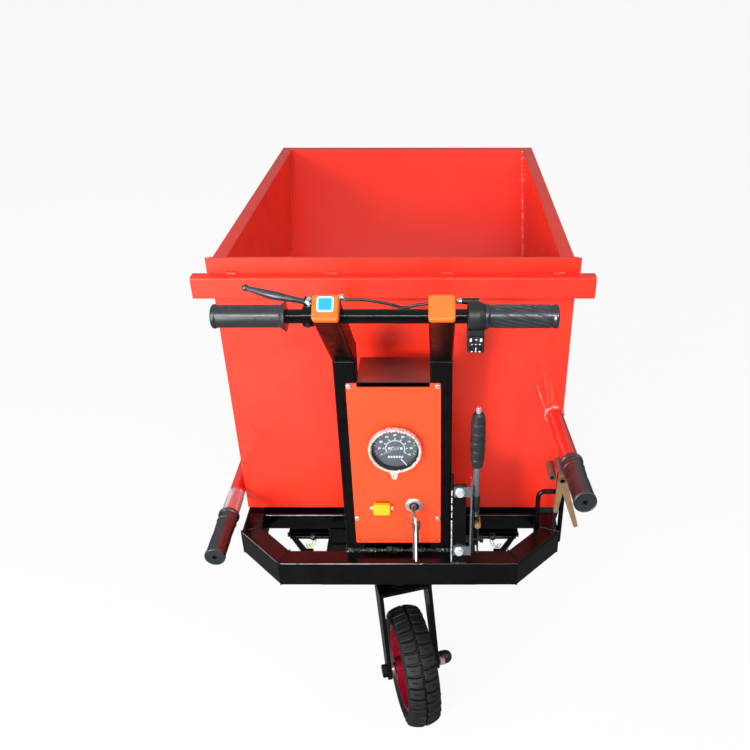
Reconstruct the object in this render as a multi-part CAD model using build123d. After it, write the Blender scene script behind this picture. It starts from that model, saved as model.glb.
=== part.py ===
from build123d import *
import math
import os

# Electric tipping trolley on three wheels. Millimetres, X to the operator's right,
# Y forwards, Z up from the ground. Y is zero at the middle of the length.

# Chassis of welded rectangular tube
frame_top = 396
rail_height = 60
rail_width = 40
tube_wall = 3
tube_corner = 5
bumper_rear_y = -380
bumper_corner = 94
frame_half_width = 334
cross_rear_y = -234
cross_size = 40
side_rail_end_y = -60
main_rail_x = 180
main_rail_end_y = 230
weld_gap = 0.2

# Uprights and handlebar
upright_size = 40
upright_wall = 2.5
upright_corner = 4
upright_inner_x = 66
upright_bend_z = 847
upright_slope = 45
upright_reach = 232
plug_height = 12
plug_spigot = 15
bar_radius = 11.1
bar_wall = 2
bar_half_length = 258
bar_from_top = 31
grip_length = 112
grip_radius = 17.5
grip_collar = 20
grip_wall_end = 5
grip_vent = 2
sleeve_fit = 0.05

# Brake lever clamp on the left of the bar, turned up about it by the tilt
lever_tilt = 25
clamp_gap = 3
clamp_width = 16
clamp_radius = 16
lever_pivot_y = 25
lever_thickness = 9
lever_fit = 0.4
lever_pin_radius = 3
yoke_plate = 3
lever_root = 7
lever_neck = (-24, 34)
lever_neck_radius = 4.2
lever_middle = (-60, 42)
lever_middle_radius = 6
lever_tip = (-104, 57)
lever_tip_radius = 3.5
lever_ball = 6

# Throttle housing, its switch pod and the control cables
throttle_width = 26
throttle_gap = 0.5
throttle_radius = 23
pod_face_y = -484
pod_bottom = 938
rocker_width = 20
rocker_height = 11
rocker_depth = 6
rocker_fit = 0.6
rocker_pin = 1.5
rocker_pin_stub = 2
rocker_pivot = 2.5
rocker_z = 961
slider_z = 946
slider_height = 7
slider_width = 9
cable_radius = 2.5
cable_bend = 16
cable_hug = 0.5
cable_boss = 5
cable_boss_length = 8
cable_offset = 17.2

# Console between the uprights
console_bottom = 418
console_top = 798
console_depth = 90
sheet = 2
panel_half_width = 85
panel_top = 796
panel_notch = 8
screw_x = 80
screw_low_z = 483
screw_high_z = 790
screw_radius = 5
gauge_z = 655
gauge_radius = 48
gauge_lip = 5
gauge_proud = 12
gauge_depth = 45
glass_thickness = 2
key_x = 33
key_z = 516
key_bezel_radius = 17
socket_x = -30
socket_z = 510
socket_width = 33
socket_height = 27
key_barrel_radius = 11
controller_half = 45
controller_depth = 34
controller_height = 140
dial_lift = 2
gauge_zero = 120
key_blade = 2.4
key_reach = 10
key_bow_length = 24
key_bow_width = 20
key_depth = 10
key_plug_radius = 5.5
ring_y = -28
ring_hole = 2.5
ring_radius = 12
ring_wire = 0.9
key_strap = 92
key_strap_width = 5
key_strap_x = -1
spare_key_x = 7
spare_key_eye = 3.6
hung_fit = 0.35
key_strap_eye = 2.8

# Handbrake beside the right upright
brake_post_width = 28
brake_post_height = 197
brake_post_sheet = 4
brake_bolt_low = 34
brake_bolt_high = 182
brake_web_x = 142
brake_pivot_lift = 52
brake_shaft_radius = 6.5
brake_shaft_length = 296
brake_grip_length = 118
brake_grip_radius = 12.5
brake_button_radius = 4.5
brake_button_proud = 12
brake_bolt = 4
brake_pivot = 4
brake_side_gap = 1.5
brake_yoke_half = 13
brake_yoke_sheet = 3
brake_yoke_below = 26
brake_stem_from = 70
brake_stem_lap = 14
brake_stem_wall = 1.5
brake_ear_sheet = 3
brake_bolt_head = 13
brake_washer_radius = 9

# Castor at the operator's end
castor_y = -317
castor_turn = 16
castor_trail = 90
castor_wheel_radius = 125
castor_tyre_width = 70
castor_rim_radius = 86
castor_axle_radius = 8
castor_leg_gap = 96
castor_leg_sheet = 8
castor_leg_width = 40
castor_crown_z = 296
castor_crown_sheet = 8
castor_crown_length = 96
castor_housing_radius = 36
castor_pin_radius = 12
castor_beam_width = 320
castor_beam_sheet = 10
castor_tread_blocks = 28
castor_tread_depth = 7
castor_rim_width = 56
axle_tail = 20
axle_tail_radius = 13
axle_nut = 24
axle_nut_height = 13
axle_head_height = 10
axle_spacer_wall = 5
castor_hub_radius = 24
castor_hub_proud = 3
castor_hub_play = 0.4

# Pressed rims of every wheel
rim_wall = 3
rim_lip = 5
rim_well = 16

# Drive wheels and transaxle
drive_y = 250
drive_wheel_radius = 200
drive_tyre_width = 90
drive_rim_radius = 112
wheel_clearance = 9
hanger_half = 46
hanger_edge = 10
hanger_root = 34
drive_shaft_radius = 15
drive_tread_blocks = 26
axle_tube_radius = 32
gearcase_radius = 78
gearcase_width = 110
axle_tube_clear = 8
motor_radius = 62
motor_length = 170
motor_drop_y = 135
drive_tread_depth = 9
drive_rim_width = 70
gearcase_x = -60
drive_hub_half = 30
drive_hub_radius = 34
wheel_nut = 32
wheel_nut_height = 9
wheel_washer = 3
wheel_washer_radius = 22
wheel_nut_gap = 1
spindle_proud = 14

# Battery under the bucket
tray_rear_y = -177
tray_front_y = 50
tray_half_width = 265
tray_z = 282
tray_lip = 12
battery_half_width = 140
battery_height = 92
battery_inset = 12

# Brake cross rod behind the battery tray
brake_rod_radius = 5
brake_rod_half = 258
brake_rod_drop = 42
brake_rod_lean = 22
brake_rod_foot = 16
brake_arm_width = 12

# Tipping bucket of sheet steel
panel_inset = 2
panel_flange = 32
bucket_sheet = 3
bucket_top = 985
bucket_rear_y = -218
bucket_floor_front = 115
bucket_lip_y = 509
rim_width = 22
rim_sheet = 3
band_overhang = 6
band_height = 29
band_sheet = 3
strip_overhang = 32
strip_height = 42
strip_depth = 25
strip_wall = 2.5
strip_corner = 4
hinge_y = 165
hinge_z = 426
hinge_pin_radius = 10
hinge_plate = 10
hinge_lug = 12
hinge_eye = 11
hinge_boss = 21
hinge_edge = 8
lug_rise = 44
lug_shoulder_y = 12
lug_shoulder_z = 18
hinge_fit = 0.08
handle_radius = 16
handle_wall = 2.5
right_handle_inset = 18
right_handle_z = 648
right_handle_length = 292
right_handle_rise = 3.7
right_handle_spread = 2.5
left_handle_z = 454
left_handle_end_y = -417
left_handle_front_y = 40
left_strut_length = 30
left_strut_half = 4
left_strut_rear = 70
bucket_grip_length = 122
bucket_grip_radius = 19
bucket_grip_collar = 21.5
bucket_grip_vent = 4.5

# Rubber pads between the rails and the bucket's floor
pad_length = 60
pad_thickness = 9
pad_inset = 4
pad_rear_gap = 10
pad_front_gap = 190

# Bucket lock on the right side rail
loop_radius = 5
loop_y = -262
loop_top = 485
loop_bend = 14
loop_foot_z = 350
sleeve_radius = 8
sleeve_bore = 5
sleeve_inset = 18
sleeve_z = 524
sleeve_length = 48
latch_bolt_radius = 4
latch_collar_radius = 6
latch_inset = 2
latch_bolt_z = 536
latch_plate = 6
latch_gap = 13
latch_leg_width = 11
latch_left_leg = 84
latch_right_leg = 128
latch_spread = 17

# Derived places used by several pieces
CENTRED_LOW = (Align.CENTER, Align.CENTER, Align.MIN)
frame_bottom = frame_top - rail_height
bucket_floor_z = frame_top + pad_thickness
bumper_half = frame_half_width - bumper_corner
corner_y = bumper_rear_y + bumper_corner
rail_inner_x = frame_half_width - rail_width
upright_rear_y = bumper_rear_y + rail_width
upright_axis_y = upright_rear_y + upright_size / 2
upright_x = upright_inner_x + upright_size / 2
slope = math.radians(upright_slope)
upright_end_y = upright_axis_y - upright_reach * math.sin(slope)
upright_end_z = upright_bend_z + upright_reach * math.cos(slope)
bar_y = upright_end_y + bar_from_top * math.sin(slope)
bar_z = upright_end_z - bar_from_top * math.cos(slope)
panel_y = upright_rear_y - sheet
axle_z = drive_wheel_radius
rear_panel_half = frame_half_width - panel_inset
bucket_half_width = rear_panel_half - panel_flange
band_half_width = rear_panel_half + band_overhang
strip_half_width = rear_panel_half + strip_overhang
right_handle_x = rear_panel_half - right_handle_inset
sleeve_x = rear_panel_half - sleeve_inset
latch_bolt_x = rear_panel_half - latch_inset
drive_wheel_x = bucket_half_width + bucket_sheet + wheel_clearance + drive_tyre_width / 2
front_slope = (bucket_lip_y - bucket_floor_front) / (bucket_top - bucket_floor_z)


def block(x0, x1, y0, y1, z0, z1):
    """A box between two corners."""
    middle = Pos((x0 + x1) / 2, (y0 + y1) / 2, (z0 + z1) / 2)
    return middle * Box(x1 - x0, y1 - y0, z1 - z0)


def rod(start, end, radius):
    """A round bar between two points."""
    run = Vector(*end) - Vector(*start)
    return extrude(Plane(origin=start, z_dir=run) * Circle(radius), amount=run.length)


def pipe(start, end, radius, wall):
    """A round tube between two points."""
    return rod(start, end, radius) - rod(start, end, radius - wall)


def plate_yz(points, x0, x1):
    """A flat outline in Y and Z, as thick as from x0 to x1."""
    return extrude(Plane.YZ.offset(x0) * make_face(Polyline(*points, close=True)), amount=x1 - x0)


def plate_xy(points, z0, z1):
    """A flat outline in X and Y, as thick as from z0 to z1."""
    return extrude(Plane.XY.offset(z0) * make_face(Polyline(*points, close=True)), amount=z1 - z0)


def facing(x, y, z):
    """A plane that looks at the operator, with X to the right and Z up."""
    return Plane(origin=(x, y, z), x_dir=(1, 0, 0), z_dir=(0, -1, 0))


def turned(points):
    """A solid turned about X from an outline of (along, radius) points."""
    return revolve(make_face(Polyline(*points, close=True)), axis=Axis.X)


def square_tube(x0, x1, y0, y1, z0, z1, wall, corner, along):
    """A hollow rectangular tube with rounded corners, open at both ends of the given axis."""
    grow = {name: (-wall if name != along else wall) for name in "xyz"}
    core = block(
        x0 - grow["x"], x1 + grow["x"], y0 - grow["y"], y1 + grow["y"], z0 - grow["z"], z1 + grow["z"]
    )
    outside = block(x0, x1, y0, y1, z0, z1)
    axis = {"x": Axis.X, "y": Axis.Y, "z": Axis.Z}[along]
    return fillet(outside.edges().filter_by(axis), corner) - core


def both_sides(shape):
    """A piece and its mirror image on the other side."""
    return [shape, mirror(shape, Plane.YZ)]


def hex_head(across, height):
    """A hexagon head standing on the XY plane."""
    return extrude(RegularPolygon(across / 2, 6, major_radius=False), amount=height)


def solids_of(shapes):
    """Every solid in a list of shapes."""
    return [solid for shape in shapes for solid in shape.solids()]


def save(name, *shapes):
    """Writes one node, made of one or more separate solids."""
    pieces = solids_of(shapes)
    export_step(pieces[0] if len(pieces) == 1 else Compound(pieces), f"parts/{name}.step")


def rail_between(corners):
    """A bumper rail of mitred tube from its plan: two outer corners, then two inner ones."""
    rail = plate_xy(corners, frame_bottom, frame_top)
    run = Vector(*corners[1]) - Vector(*corners[0])
    long_edges = [edge for edge in rail.edges() if abs(edge.tangent_at(0).dot(run.normalized())) > 0.999]
    return fillet(long_edges, tube_corner)


def make_chassis():
    """The octagon bumper, its side rails and the ladder under the bucket."""
    middle = [
        (-bumper_half, bumper_rear_y),
        (bumper_half, bumper_rear_y),
        (bumper_half - rail_width * math.tan(math.pi / 8), upright_rear_y),
        (-bumper_half + rail_width * math.tan(math.pi / 8), upright_rear_y),
    ]
    inner_corner_y = corner_y + rail_width * math.tan(math.pi / 8)
    corner = [
        (bumper_half, bumper_rear_y),
        (frame_half_width, corner_y),
        (rail_inner_x, inner_corner_y),
        middle[2],
    ]
    side = [
        (frame_half_width, corner_y),
        (frame_half_width, side_rail_end_y),
        (rail_inner_x, side_rail_end_y),
        (rail_inner_x, inner_corner_y),
    ]
    bumper = rail_between(middle)
    corners = both_sides(rail_between(corner))
    sides = both_sides(rail_between(side))
    save("bumper_tubes", bumper, *corners, *sides)

    cross_front_y = cross_rear_y + cross_size
    cross_bottom = frame_top - cross_size
    rear_cross = square_tube(
        -rail_inner_x, rail_inner_x, cross_rear_y, cross_front_y,
        cross_bottom, frame_top, tube_wall, tube_corner, "x",
    )
    rail_out = main_rail_x + rail_width / 2
    rail_in = main_rail_x - rail_width / 2
    outrigger = square_tube(
        rail_out, rail_inner_x, side_rail_end_y - cross_size, side_rail_end_y,
        cross_bottom, frame_top, tube_wall, tube_corner, "x",
    )
    front_cross = square_tube(
        -rail_in, rail_in, main_rail_end_y - cross_size, main_rail_end_y,
        cross_bottom, frame_top, tube_wall, tube_corner, "x",
    )
    rail = square_tube(
        rail_in, rail_out, cross_front_y, main_rail_end_y,
        frame_bottom, frame_top, tube_wall, tube_corner, "y",
    )
    save("ladder_tubes", *both_sides(rail), rear_cross, *both_sides(outrigger), front_cross)


def make_uprights():
    """Two bent square tubes with end plugs, and the bar through their tops."""
    half = upright_size / 2
    knee = half * math.tan(slope / 2)
    end_rear = (upright_end_y - half * math.cos(slope), upright_end_z - half * math.sin(slope))
    end_front = (upright_end_y + half * math.cos(slope), upright_end_z + half * math.sin(slope))
    outside = [
        (upright_rear_y, frame_bottom),
        (upright_rear_y + upright_size, frame_bottom),
        (upright_rear_y + upright_size, upright_bend_z + knee),
        end_front,
        end_rear,
        (upright_rear_y, upright_bend_z - knee),
    ]
    bore = half - upright_wall
    bore_knee = bore * math.tan(slope / 2)
    past = plug_height
    inside = [
        (upright_axis_y - bore, frame_bottom - past),
        (upright_axis_y + bore, frame_bottom - past),
        (upright_axis_y + bore, upright_bend_z + bore_knee),
        (
            upright_end_y + bore * math.cos(slope) - past * math.sin(slope),
            upright_end_z + bore * math.sin(slope) + past * math.cos(slope),
        ),
        (
            upright_end_y - bore * math.cos(slope) - past * math.sin(slope),
            upright_end_z - bore * math.sin(slope) + past * math.cos(slope),
        ),
        (upright_axis_y - bore, upright_bend_z - bore_knee),
    ]
    outer_x = upright_inner_x + upright_size
    post = plate_yz(outside, upright_inner_x, outer_x)
    long_edges = [edge for edge in post.edges() if edge.length > 2 * upright_size]
    post = fillet(long_edges, upright_corner)
    post -= plate_yz(inside, upright_inner_x + upright_wall, outer_x - upright_wall)
    post -= rod((0, bar_y, bar_z), (outer_x + past, bar_y, bar_z), bar_radius + sleeve_fit)
    save("uprights", *both_sides(post))

    top = Plane(
        origin=(upright_x, upright_end_y, upright_end_z),
        x_dir=(1, 0, 0),
        z_dir=(0, -math.sin(slope), math.cos(slope)),
    )
    cap = Pos(0, 0, plug_height / 2) * Box(upright_size, upright_size, plug_height)
    cap = fillet(cap.edges().filter_by(Axis.Z), upright_size / 8)
    cap = fillet(cap.faces().sort_by(Axis.Z)[-1].edges(), plug_height / 4)
    spigot_size = 2 * (bore - sleeve_fit)
    spigot = Pos(0, 0, -plug_spigot / 2) * Box(spigot_size, spigot_size, plug_spigot)
    save("upright_plugs", *both_sides(top * (cap + spigot)))

    ends = (-bar_half_length, bar_y, bar_z), (bar_half_length, bar_y, bar_z)
    save("handlebar", pipe(*ends, bar_radius, bar_wall))


def grip_outline(length, bore, radius, collar, vent, ribs):
    """Half section of a rubber grip: a collar at each end and shallow ribs between."""
    collar_width = 5
    rib_depth = 0.8
    lead = 3
    points = [(0, bore), (0, collar - 1), (1, collar), (collar_width, collar), (collar_width + lead, radius)]
    pitch = (length - 2 * collar_width - 2 * lead) / (ribs + 0.5)
    along = collar_width + lead + pitch / 2
    for _ in range(ribs):
        points += [
            (along, radius),
            (along + pitch * 0.2, radius - rib_depth),
            (along + pitch * 0.4, radius),
        ]
        along += pitch
    tip = radius + (collar - radius) / 2
    points += [(length - collar_width - lead, radius), (length - collar_width, tip), (length - 2, tip)]
    points += [(length, tip - 2), (length, vent)]
    points += [(length - grip_wall_end, vent), (length - grip_wall_end, bore)]
    return points


def make_controls():
    """Left grip and brake lever, right twist grip with its switch pod, and their cables."""
    bar_line = Pos(0, bar_y, bar_z)
    grip_start = bar_half_length + grip_wall_end - grip_length
    outline = grip_outline(grip_length, bar_radius + sleeve_fit, grip_radius, grip_collar, grip_vent, 0)
    grip = bar_line * Pos(grip_start, 0, 0) * turned(outline)
    save("grip_left", mirror(grip, Plane.YZ))
    save("throttle_grip", grip)

    # The lever's clamp and blade are drawn level with the bar and turned up about it.
    tilt = bar_line * Rot(lever_tilt, 0, 0)
    clamp_x = -(upright_inner_x + upright_size) - clamp_gap - clamp_width / 2
    ring = turned(ring_outline(clamp_width, bar_radius + sleeve_fit, clamp_radius))
    yoke_half = lever_thickness / 2 + lever_fit
    yoke = block(-clamp_width / 2, clamp_width / 2, clamp_radius - 3, lever_pivot_y + clamp_width / 2,
                 -yoke_half - yoke_plate, yoke_half + yoke_plate)
    yoke -= block(-clamp_width, clamp_width, clamp_radius + 1, lever_pivot_y + clamp_width,
                  -yoke_half, yoke_half)
    ferrule = rod((clamp_width / 2 - 2, lever_pivot_y, 0), (clamp_width / 2 + 1, lever_pivot_y, 0), yoke_half)
    pivot_top = yoke_half + yoke_plate
    pivot = rod((0, lever_pivot_y, -pivot_top), (0, lever_pivot_y, pivot_top + 2), lever_pin_radius)
    save("lever_clamp", tilt * Pos(clamp_x, 0, 0) * (ring + yoke - ferrule + pivot))

    blade = lever_blade()
    blade -= rod((0, lever_pivot_y, -20), (0, lever_pivot_y, 20), lever_pin_radius + sleeve_fit)
    save("brake_lever", tilt * Pos(clamp_x, 0, 0) * blade)

    make_throttle(bar_line)
    make_cables(clamp_x)


def ring_outline(width, inner, outer):
    """A plain collar about X."""
    edge = 1
    return [
        (-width / 2, inner), (-width / 2, outer - edge), (-width / 2 + edge, outer),
        (width / 2 - edge, outer), (width / 2, outer - edge), (width / 2, inner),
    ]


def lever_blade():
    """The brake blade: a root at the pivot, a thin neck, a broad middle and a ball at the tip."""
    root = Pos(0, lever_pivot_y) * Circle(lever_root)
    neck = Pos(*lever_neck) * Circle(lever_neck_radius)
    middle = Pos(*lever_middle) * Circle(lever_middle_radius)
    tip = Pos(*lever_tip) * Circle(lever_tip_radius)
    flat = make_hull(root.edges() + neck.edges())
    flat += make_hull(neck.edges() + middle.edges())
    flat += make_hull(middle.edges() + tip.edges())
    blade = extrude(Pos(0, 0, -lever_thickness / 2) * flat, amount=lever_thickness)
    return blade + Pos(lever_tip[0], lever_tip[1], 0) * Sphere(lever_ball)


def make_throttle(bar_line):
    """Throttle housing with its pod, a rocker and a slider on the pod's face."""
    start = bar_half_length + grip_wall_end - grip_length - throttle_width - throttle_gap
    cone = throttle_width * 0.7
    outline = [
        (0, bar_radius + sleeve_fit), (0, throttle_radius - 2), (2, throttle_radius), (cone, throttle_radius),
        (throttle_width, grip_radius + 2), (throttle_width, bar_radius + sleeve_fit),
    ]
    housing = turned(outline) + rod(
        (-cable_boss_length, cable_offset, cable_offset), (cone, cable_offset, cable_offset), cable_boss
    )
    housing = bar_line * Pos(start, 0, 0) * housing
    pod = block(start, start + throttle_width, pod_face_y, bar_y + 6, pod_bottom, bar_z - bar_radius - 2)
    pod = fillet(pod.edges().filter_by(Axis.Z), 3)
    pod -= rod((start - 5, bar_y, bar_z), (start + 60, bar_y, bar_z), bar_radius + sleeve_fit)
    centre_x = start + throttle_width / 2
    rocker_seat = block(
        centre_x - rocker_width / 2 - rocker_fit, centre_x + rocker_width / 2 + rocker_fit,
        pod_face_y - 5, pod_face_y + rocker_depth, rocker_z - rocker_height / 2 - rocker_fit,
        rocker_z + rocker_height / 2 + rocker_fit,
    )
    slider_seat = block(
        centre_x - rocker_width / 2, centre_x + rocker_width / 2, pod_face_y - 5, pod_face_y + 3,
        slider_z - slider_height / 2 - rocker_fit, slider_z + slider_height / 2 + rocker_fit,
    )
    pivot_y = pod_face_y + rocker_pivot
    pin_low = rocker_z - rocker_height / 2 - rocker_fit - rocker_pin_stub
    pin_high = rocker_z + rocker_height / 2 + rocker_fit + rocker_pin_stub
    pin_ends = (centre_x, pivot_y, pin_low), (centre_x, pivot_y, pin_high)
    pin_hole = rod(*pin_ends, rocker_pin + sleeve_fit)
    save("throttle_housing", housing + pod - rocker_seat - slider_seat - pin_hole)
    half = rocker_width / 2
    rocker = [
        (centre_x - half, pod_face_y - 2.5), (centre_x, pod_face_y - 1), (centre_x + half, pod_face_y - 2.5),
        (centre_x + half, pod_face_y + 1), (centre_x, pod_face_y + rocker_depth - rocker_fit),
        (centre_x - half, pod_face_y + 1),
    ]
    rocker = plate_xy(rocker, rocker_z - rocker_height / 2, rocker_z + rocker_height / 2)
    save("direction_rocker", rocker + rod(*pin_ends, rocker_pin))
    slider = block(
        centre_x - slider_width / 2, centre_x + slider_width / 2, pod_face_y - 3, pod_face_y + 3 - rocker_fit,
        slider_z - slider_height / 2, slider_z + slider_height / 2,
    )
    save("speed_slider", slider)


def cable(points, radius, bend):
    """A sheathed cable along straight runs joined by arcs."""
    path = FilletPolyline(*points, radius=bend)
    start = Plane(origin=points[0], z_dir=Vector(*points[1]) - Vector(*points[0]))
    return sweep(start * Circle(radius), path=path)


def make_cables(clamp_x):
    """Brake and throttle cables: they cross behind the bar and go down in front of the uprights."""
    tilt = math.radians(lever_tilt)
    lever_y = bar_y + lever_pivot_y * math.cos(tilt)
    lever_z = bar_z + lever_pivot_y * math.sin(tilt)
    front_y = upright_rear_y + upright_size
    entry_y, entry_z = front_y + 20, console_top - 23
    down = [
        (46, bar_y + 56, bar_z - 20), (upright_x, bar_y + 98, bar_z - 64),
        (upright_x, front_y + 9, upright_bend_z + 23), (upright_x, front_y + 4, console_top + 2),
        (upright_x, entry_y, entry_z), (upright_inner_x, entry_y, entry_z),
    ]
    brake = [
        (clamp_x + clamp_width / 2 + 1, lever_y, lever_z), (-60, bar_y + 22, bar_z + 21),
        (2, bar_y + 32, bar_z + 7),
    ]
    start_x = bar_half_length + grip_wall_end - grip_length - throttle_width - throttle_gap
    throttle = [
        (start_x - cable_boss_length - cable_hug, bar_y + cable_offset, bar_z + cable_offset),
        (50, bar_y + 16, bar_z + 15), (-4, bar_y + 16, bar_z - 6),
    ]
    brake += down
    throttle += [(-x, y, z) for x, y, z in down]
    save("control_cables", *[cable(points, cable_radius, cable_bend) for points in (brake, throttle)])


def make_console():
    """The folded sheet box between the uprights, its panel, and what is fixed in it."""
    front_y = upright_rear_y + console_depth
    box = block(-upright_inner_x, upright_inner_x, upright_rear_y, front_y, console_bottom, console_top)
    box -= block(
        -upright_inner_x + sheet, upright_inner_x - sheet, upright_rear_y - sheet, front_y - sheet,
        console_bottom + sheet, console_top - sheet,
    )
    save("console_box", box)

    height = panel_top - console_bottom
    panel = facing(0, upright_rear_y, (panel_top + console_bottom) / 2) * RectangleRounded(
        2 * panel_half_width, height, 3
    )
    panel = extrude(panel, amount=sheet)
    panel -= block(-upright_inner_x, upright_inner_x, panel_y - 1, upright_rear_y + 1,
                   panel_top - panel_notch, panel_top + 1)
    panel -= rod((0, panel_y - 1, gauge_z), (0, upright_rear_y + 1, gauge_z), gauge_radius - gauge_lip)
    panel -= rod((key_x, panel_y - 1, key_z), (key_x, upright_rear_y + 1, key_z), key_barrel_radius)
    panel -= block(
        socket_x - socket_width / 2 + 3, socket_x + socket_width / 2 - 3, panel_y - 1, upright_rear_y + 1,
        socket_z - socket_height / 2 + 3, socket_z + socket_height / 2 - 3,
    )
    save("console_panel", panel)

    screw = facing(0, panel_y, 0) * Cylinder(screw_radius, 3, align=CENTRED_LOW)
    screw = fillet(screw.faces().sort_by(Axis.Y)[0].edges(), 1.5)
    places = [(x, z) for x in (-screw_x, screw_x) for z in (screw_low_z, screw_high_z)]
    save("panel_screws", *[Pos(x, 0, z) * screw for x, z in places])

    make_gauge()
    make_key_and_socket()
    box_low = console_bottom + sheet
    unit = block(
        -controller_half, controller_half, front_y - sheet - controller_depth, front_y - sheet,
        box_low + 20, box_low + 20 + controller_height,
    )
    fin = block(
        -controller_half, -controller_half + 3, front_y - sheet - controller_depth - 6,
        front_y - sheet - controller_depth, box_low + 24, box_low + 16 + controller_height,
    )
    fins = [Pos(index * controller_half / 4, 0, 0) * fin for index in range(8)]
    save("motor_controller", unit + fins)


def make_gauge():
    """Speedometer: a case with a raised bezel, a pointer on its dial and a glass."""
    inner = gauge_radius - gauge_lip
    outline = [
        (-gauge_depth, 0), (-gauge_depth, inner - 4), (-gauge_depth + 4, inner - sleeve_fit),
        (0, inner - sleeve_fit), (0, gauge_radius), (gauge_proud - 3, gauge_radius),
        (gauge_proud, gauge_radius - 3), (gauge_proud, inner + 1), (gauge_proud - 4, inner - 1),
        (dial_lift, inner - 1), (dial_lift, 2), (dial_lift - 3, 2), (dial_lift - 3, 0),
    ]
    to_operator = Pos(0, panel_y, gauge_z) * Rot(0, 0, -90)
    save("speedometer", to_operator * turned(outline))
    glass_back = gauge_proud - 4 - glass_thickness
    glass = [(glass_back, 0), (glass_back, inner - 1.2), (glass_back + glass_thickness, inner - 1.2),
             (glass_back + glass_thickness, 0)]
    save("speedometer_glass", to_operator * turned(glass))
    hub = turned([(dial_lift - 2.5, 0), (dial_lift - 2.5, 1.9), (dial_lift + 0.3, 1.9),
                  (dial_lift + 0.3, 4), (dial_lift + 2, 4), (dial_lift + 2, 0)])
    hand = [(-2.2, -9), (2.2, -9), (0.7, inner - 10), (-0.7, inner - 10)]
    hand = Plane.XZ * make_face(Polyline(*hand, close=True))
    hand = Pos(0, panel_y - dial_lift - 0.6, gauge_z) * Rot(0, -gauge_zero, 0) * extrude(hand, amount=1)
    save("speedometer_needle", to_operator * hub + hand)


def make_key_and_socket():
    """Key switch with a turned key, the ring and spare key on it, and the charging socket."""
    to_operator = Pos(key_x, panel_y, key_z) * Rot(0, 0, -90)
    bore = key_plug_radius + sleeve_fit
    barrel = [(-30, 0), (-30, key_barrel_radius - sleeve_fit), (0, key_barrel_radius - sleeve_fit),
              (0, key_bezel_radius), (2, key_bezel_radius), (4, key_bezel_radius - 3), (4, bore),
              (-key_depth - sleeve_fit, bore), (-key_depth - sleeve_fit, 0)]
    save("key_switch", to_operator * turned(barrel))

    bow = block(-key_blade / 2, key_blade / 2, -key_reach, 0, -4.5, 4.5)
    bow += rod((0, -3, 0), (0, key_depth, 0), key_plug_radius)
    grip = Rot(0, 90, 0) * Pos(0, 0, -key_blade / 2) * extrude(
        Rot(0, 0, 90) * RectangleRounded(key_bow_length, key_bow_width, 6), amount=key_blade
    )
    grip = Pos(0, -key_reach - key_bow_length / 2 + 1, 0) * grip
    hole = rod((-5, ring_y, 0), (5, ring_y, 0), ring_hole)
    save("ignition_key", Pos(key_x, panel_y, key_z) * (bow + grip - hole))

    # The spare and a plastic strap hang from the ring, turned opposite ways, with the wire in their eyes.
    rest = ring_hole - ring_wire - sleeve_fit
    centre_z = -ring_radius - rest
    ring = Pos(0, ring_y, centre_z) * Rot(90, 0, 0) * Torus(ring_radius, ring_wire)
    spare_z = centre_z - math.sqrt(ring_radius ** 2 - spare_key_x ** 2)
    spare_z -= spare_key_eye - 3 * ring_wire
    spare = Plane(origin=(spare_key_x, ring_y, spare_z), x_dir=(1, 1, 0), z_dir=(1, -1, 0))
    plate = spare * Pos(0, -5) * RectangleRounded(key_bow_width * 0.8, key_bow_length, 6)
    blade = spare * Pos(0, -32) * Rectangle(7, 34)
    eye = spare * Circle(spare_key_eye)
    spare_key = extrude(plate + blade - eye, amount=0.8, both=True)
    strap_z = centre_z - math.sqrt(ring_radius ** 2 - key_strap_x ** 2)
    hang = Plane(origin=(key_strap_x, ring_y, strap_z), x_dir=(1, -1, 0), z_dir=(-1, -1, 0))
    head = Pos(0, -key_strap_eye / 2) * RectangleRounded(8, 9, 1.5) + Pos(0, -key_strap / 2) * Rectangle(
        key_strap_width, key_strap
    )
    head -= Pos(0, ring_wire - key_strap_eye + hung_fit) * Circle(key_strap_eye)
    strap = extrude(hang * head, amount=0.6, both=True)
    pieces = [ring, spare_key, strap]
    save("key_ring", *[Pos(key_x, panel_y, key_z) * piece for piece in pieces])

    flap = facing(socket_x, panel_y, socket_z) * RectangleRounded(socket_width, socket_height, 4)
    flap = fillet(extrude(flap, amount=9).faces().sort_by(Axis.Y)[0].edges(), 2)
    ears = facing(socket_x, panel_y, socket_z) * SlotOverall(socket_width + 14, 9)
    back = block(
        socket_x - socket_width / 2 + 3.2, socket_x + socket_width / 2 - 3.2, panel_y, upright_rear_y + 22,
        socket_z - socket_height / 2 + 3.2, socket_z + socket_height / 2 - 3.2,
    )
    save("charge_socket", flap + extrude(ears, amount=3) + back)


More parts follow.
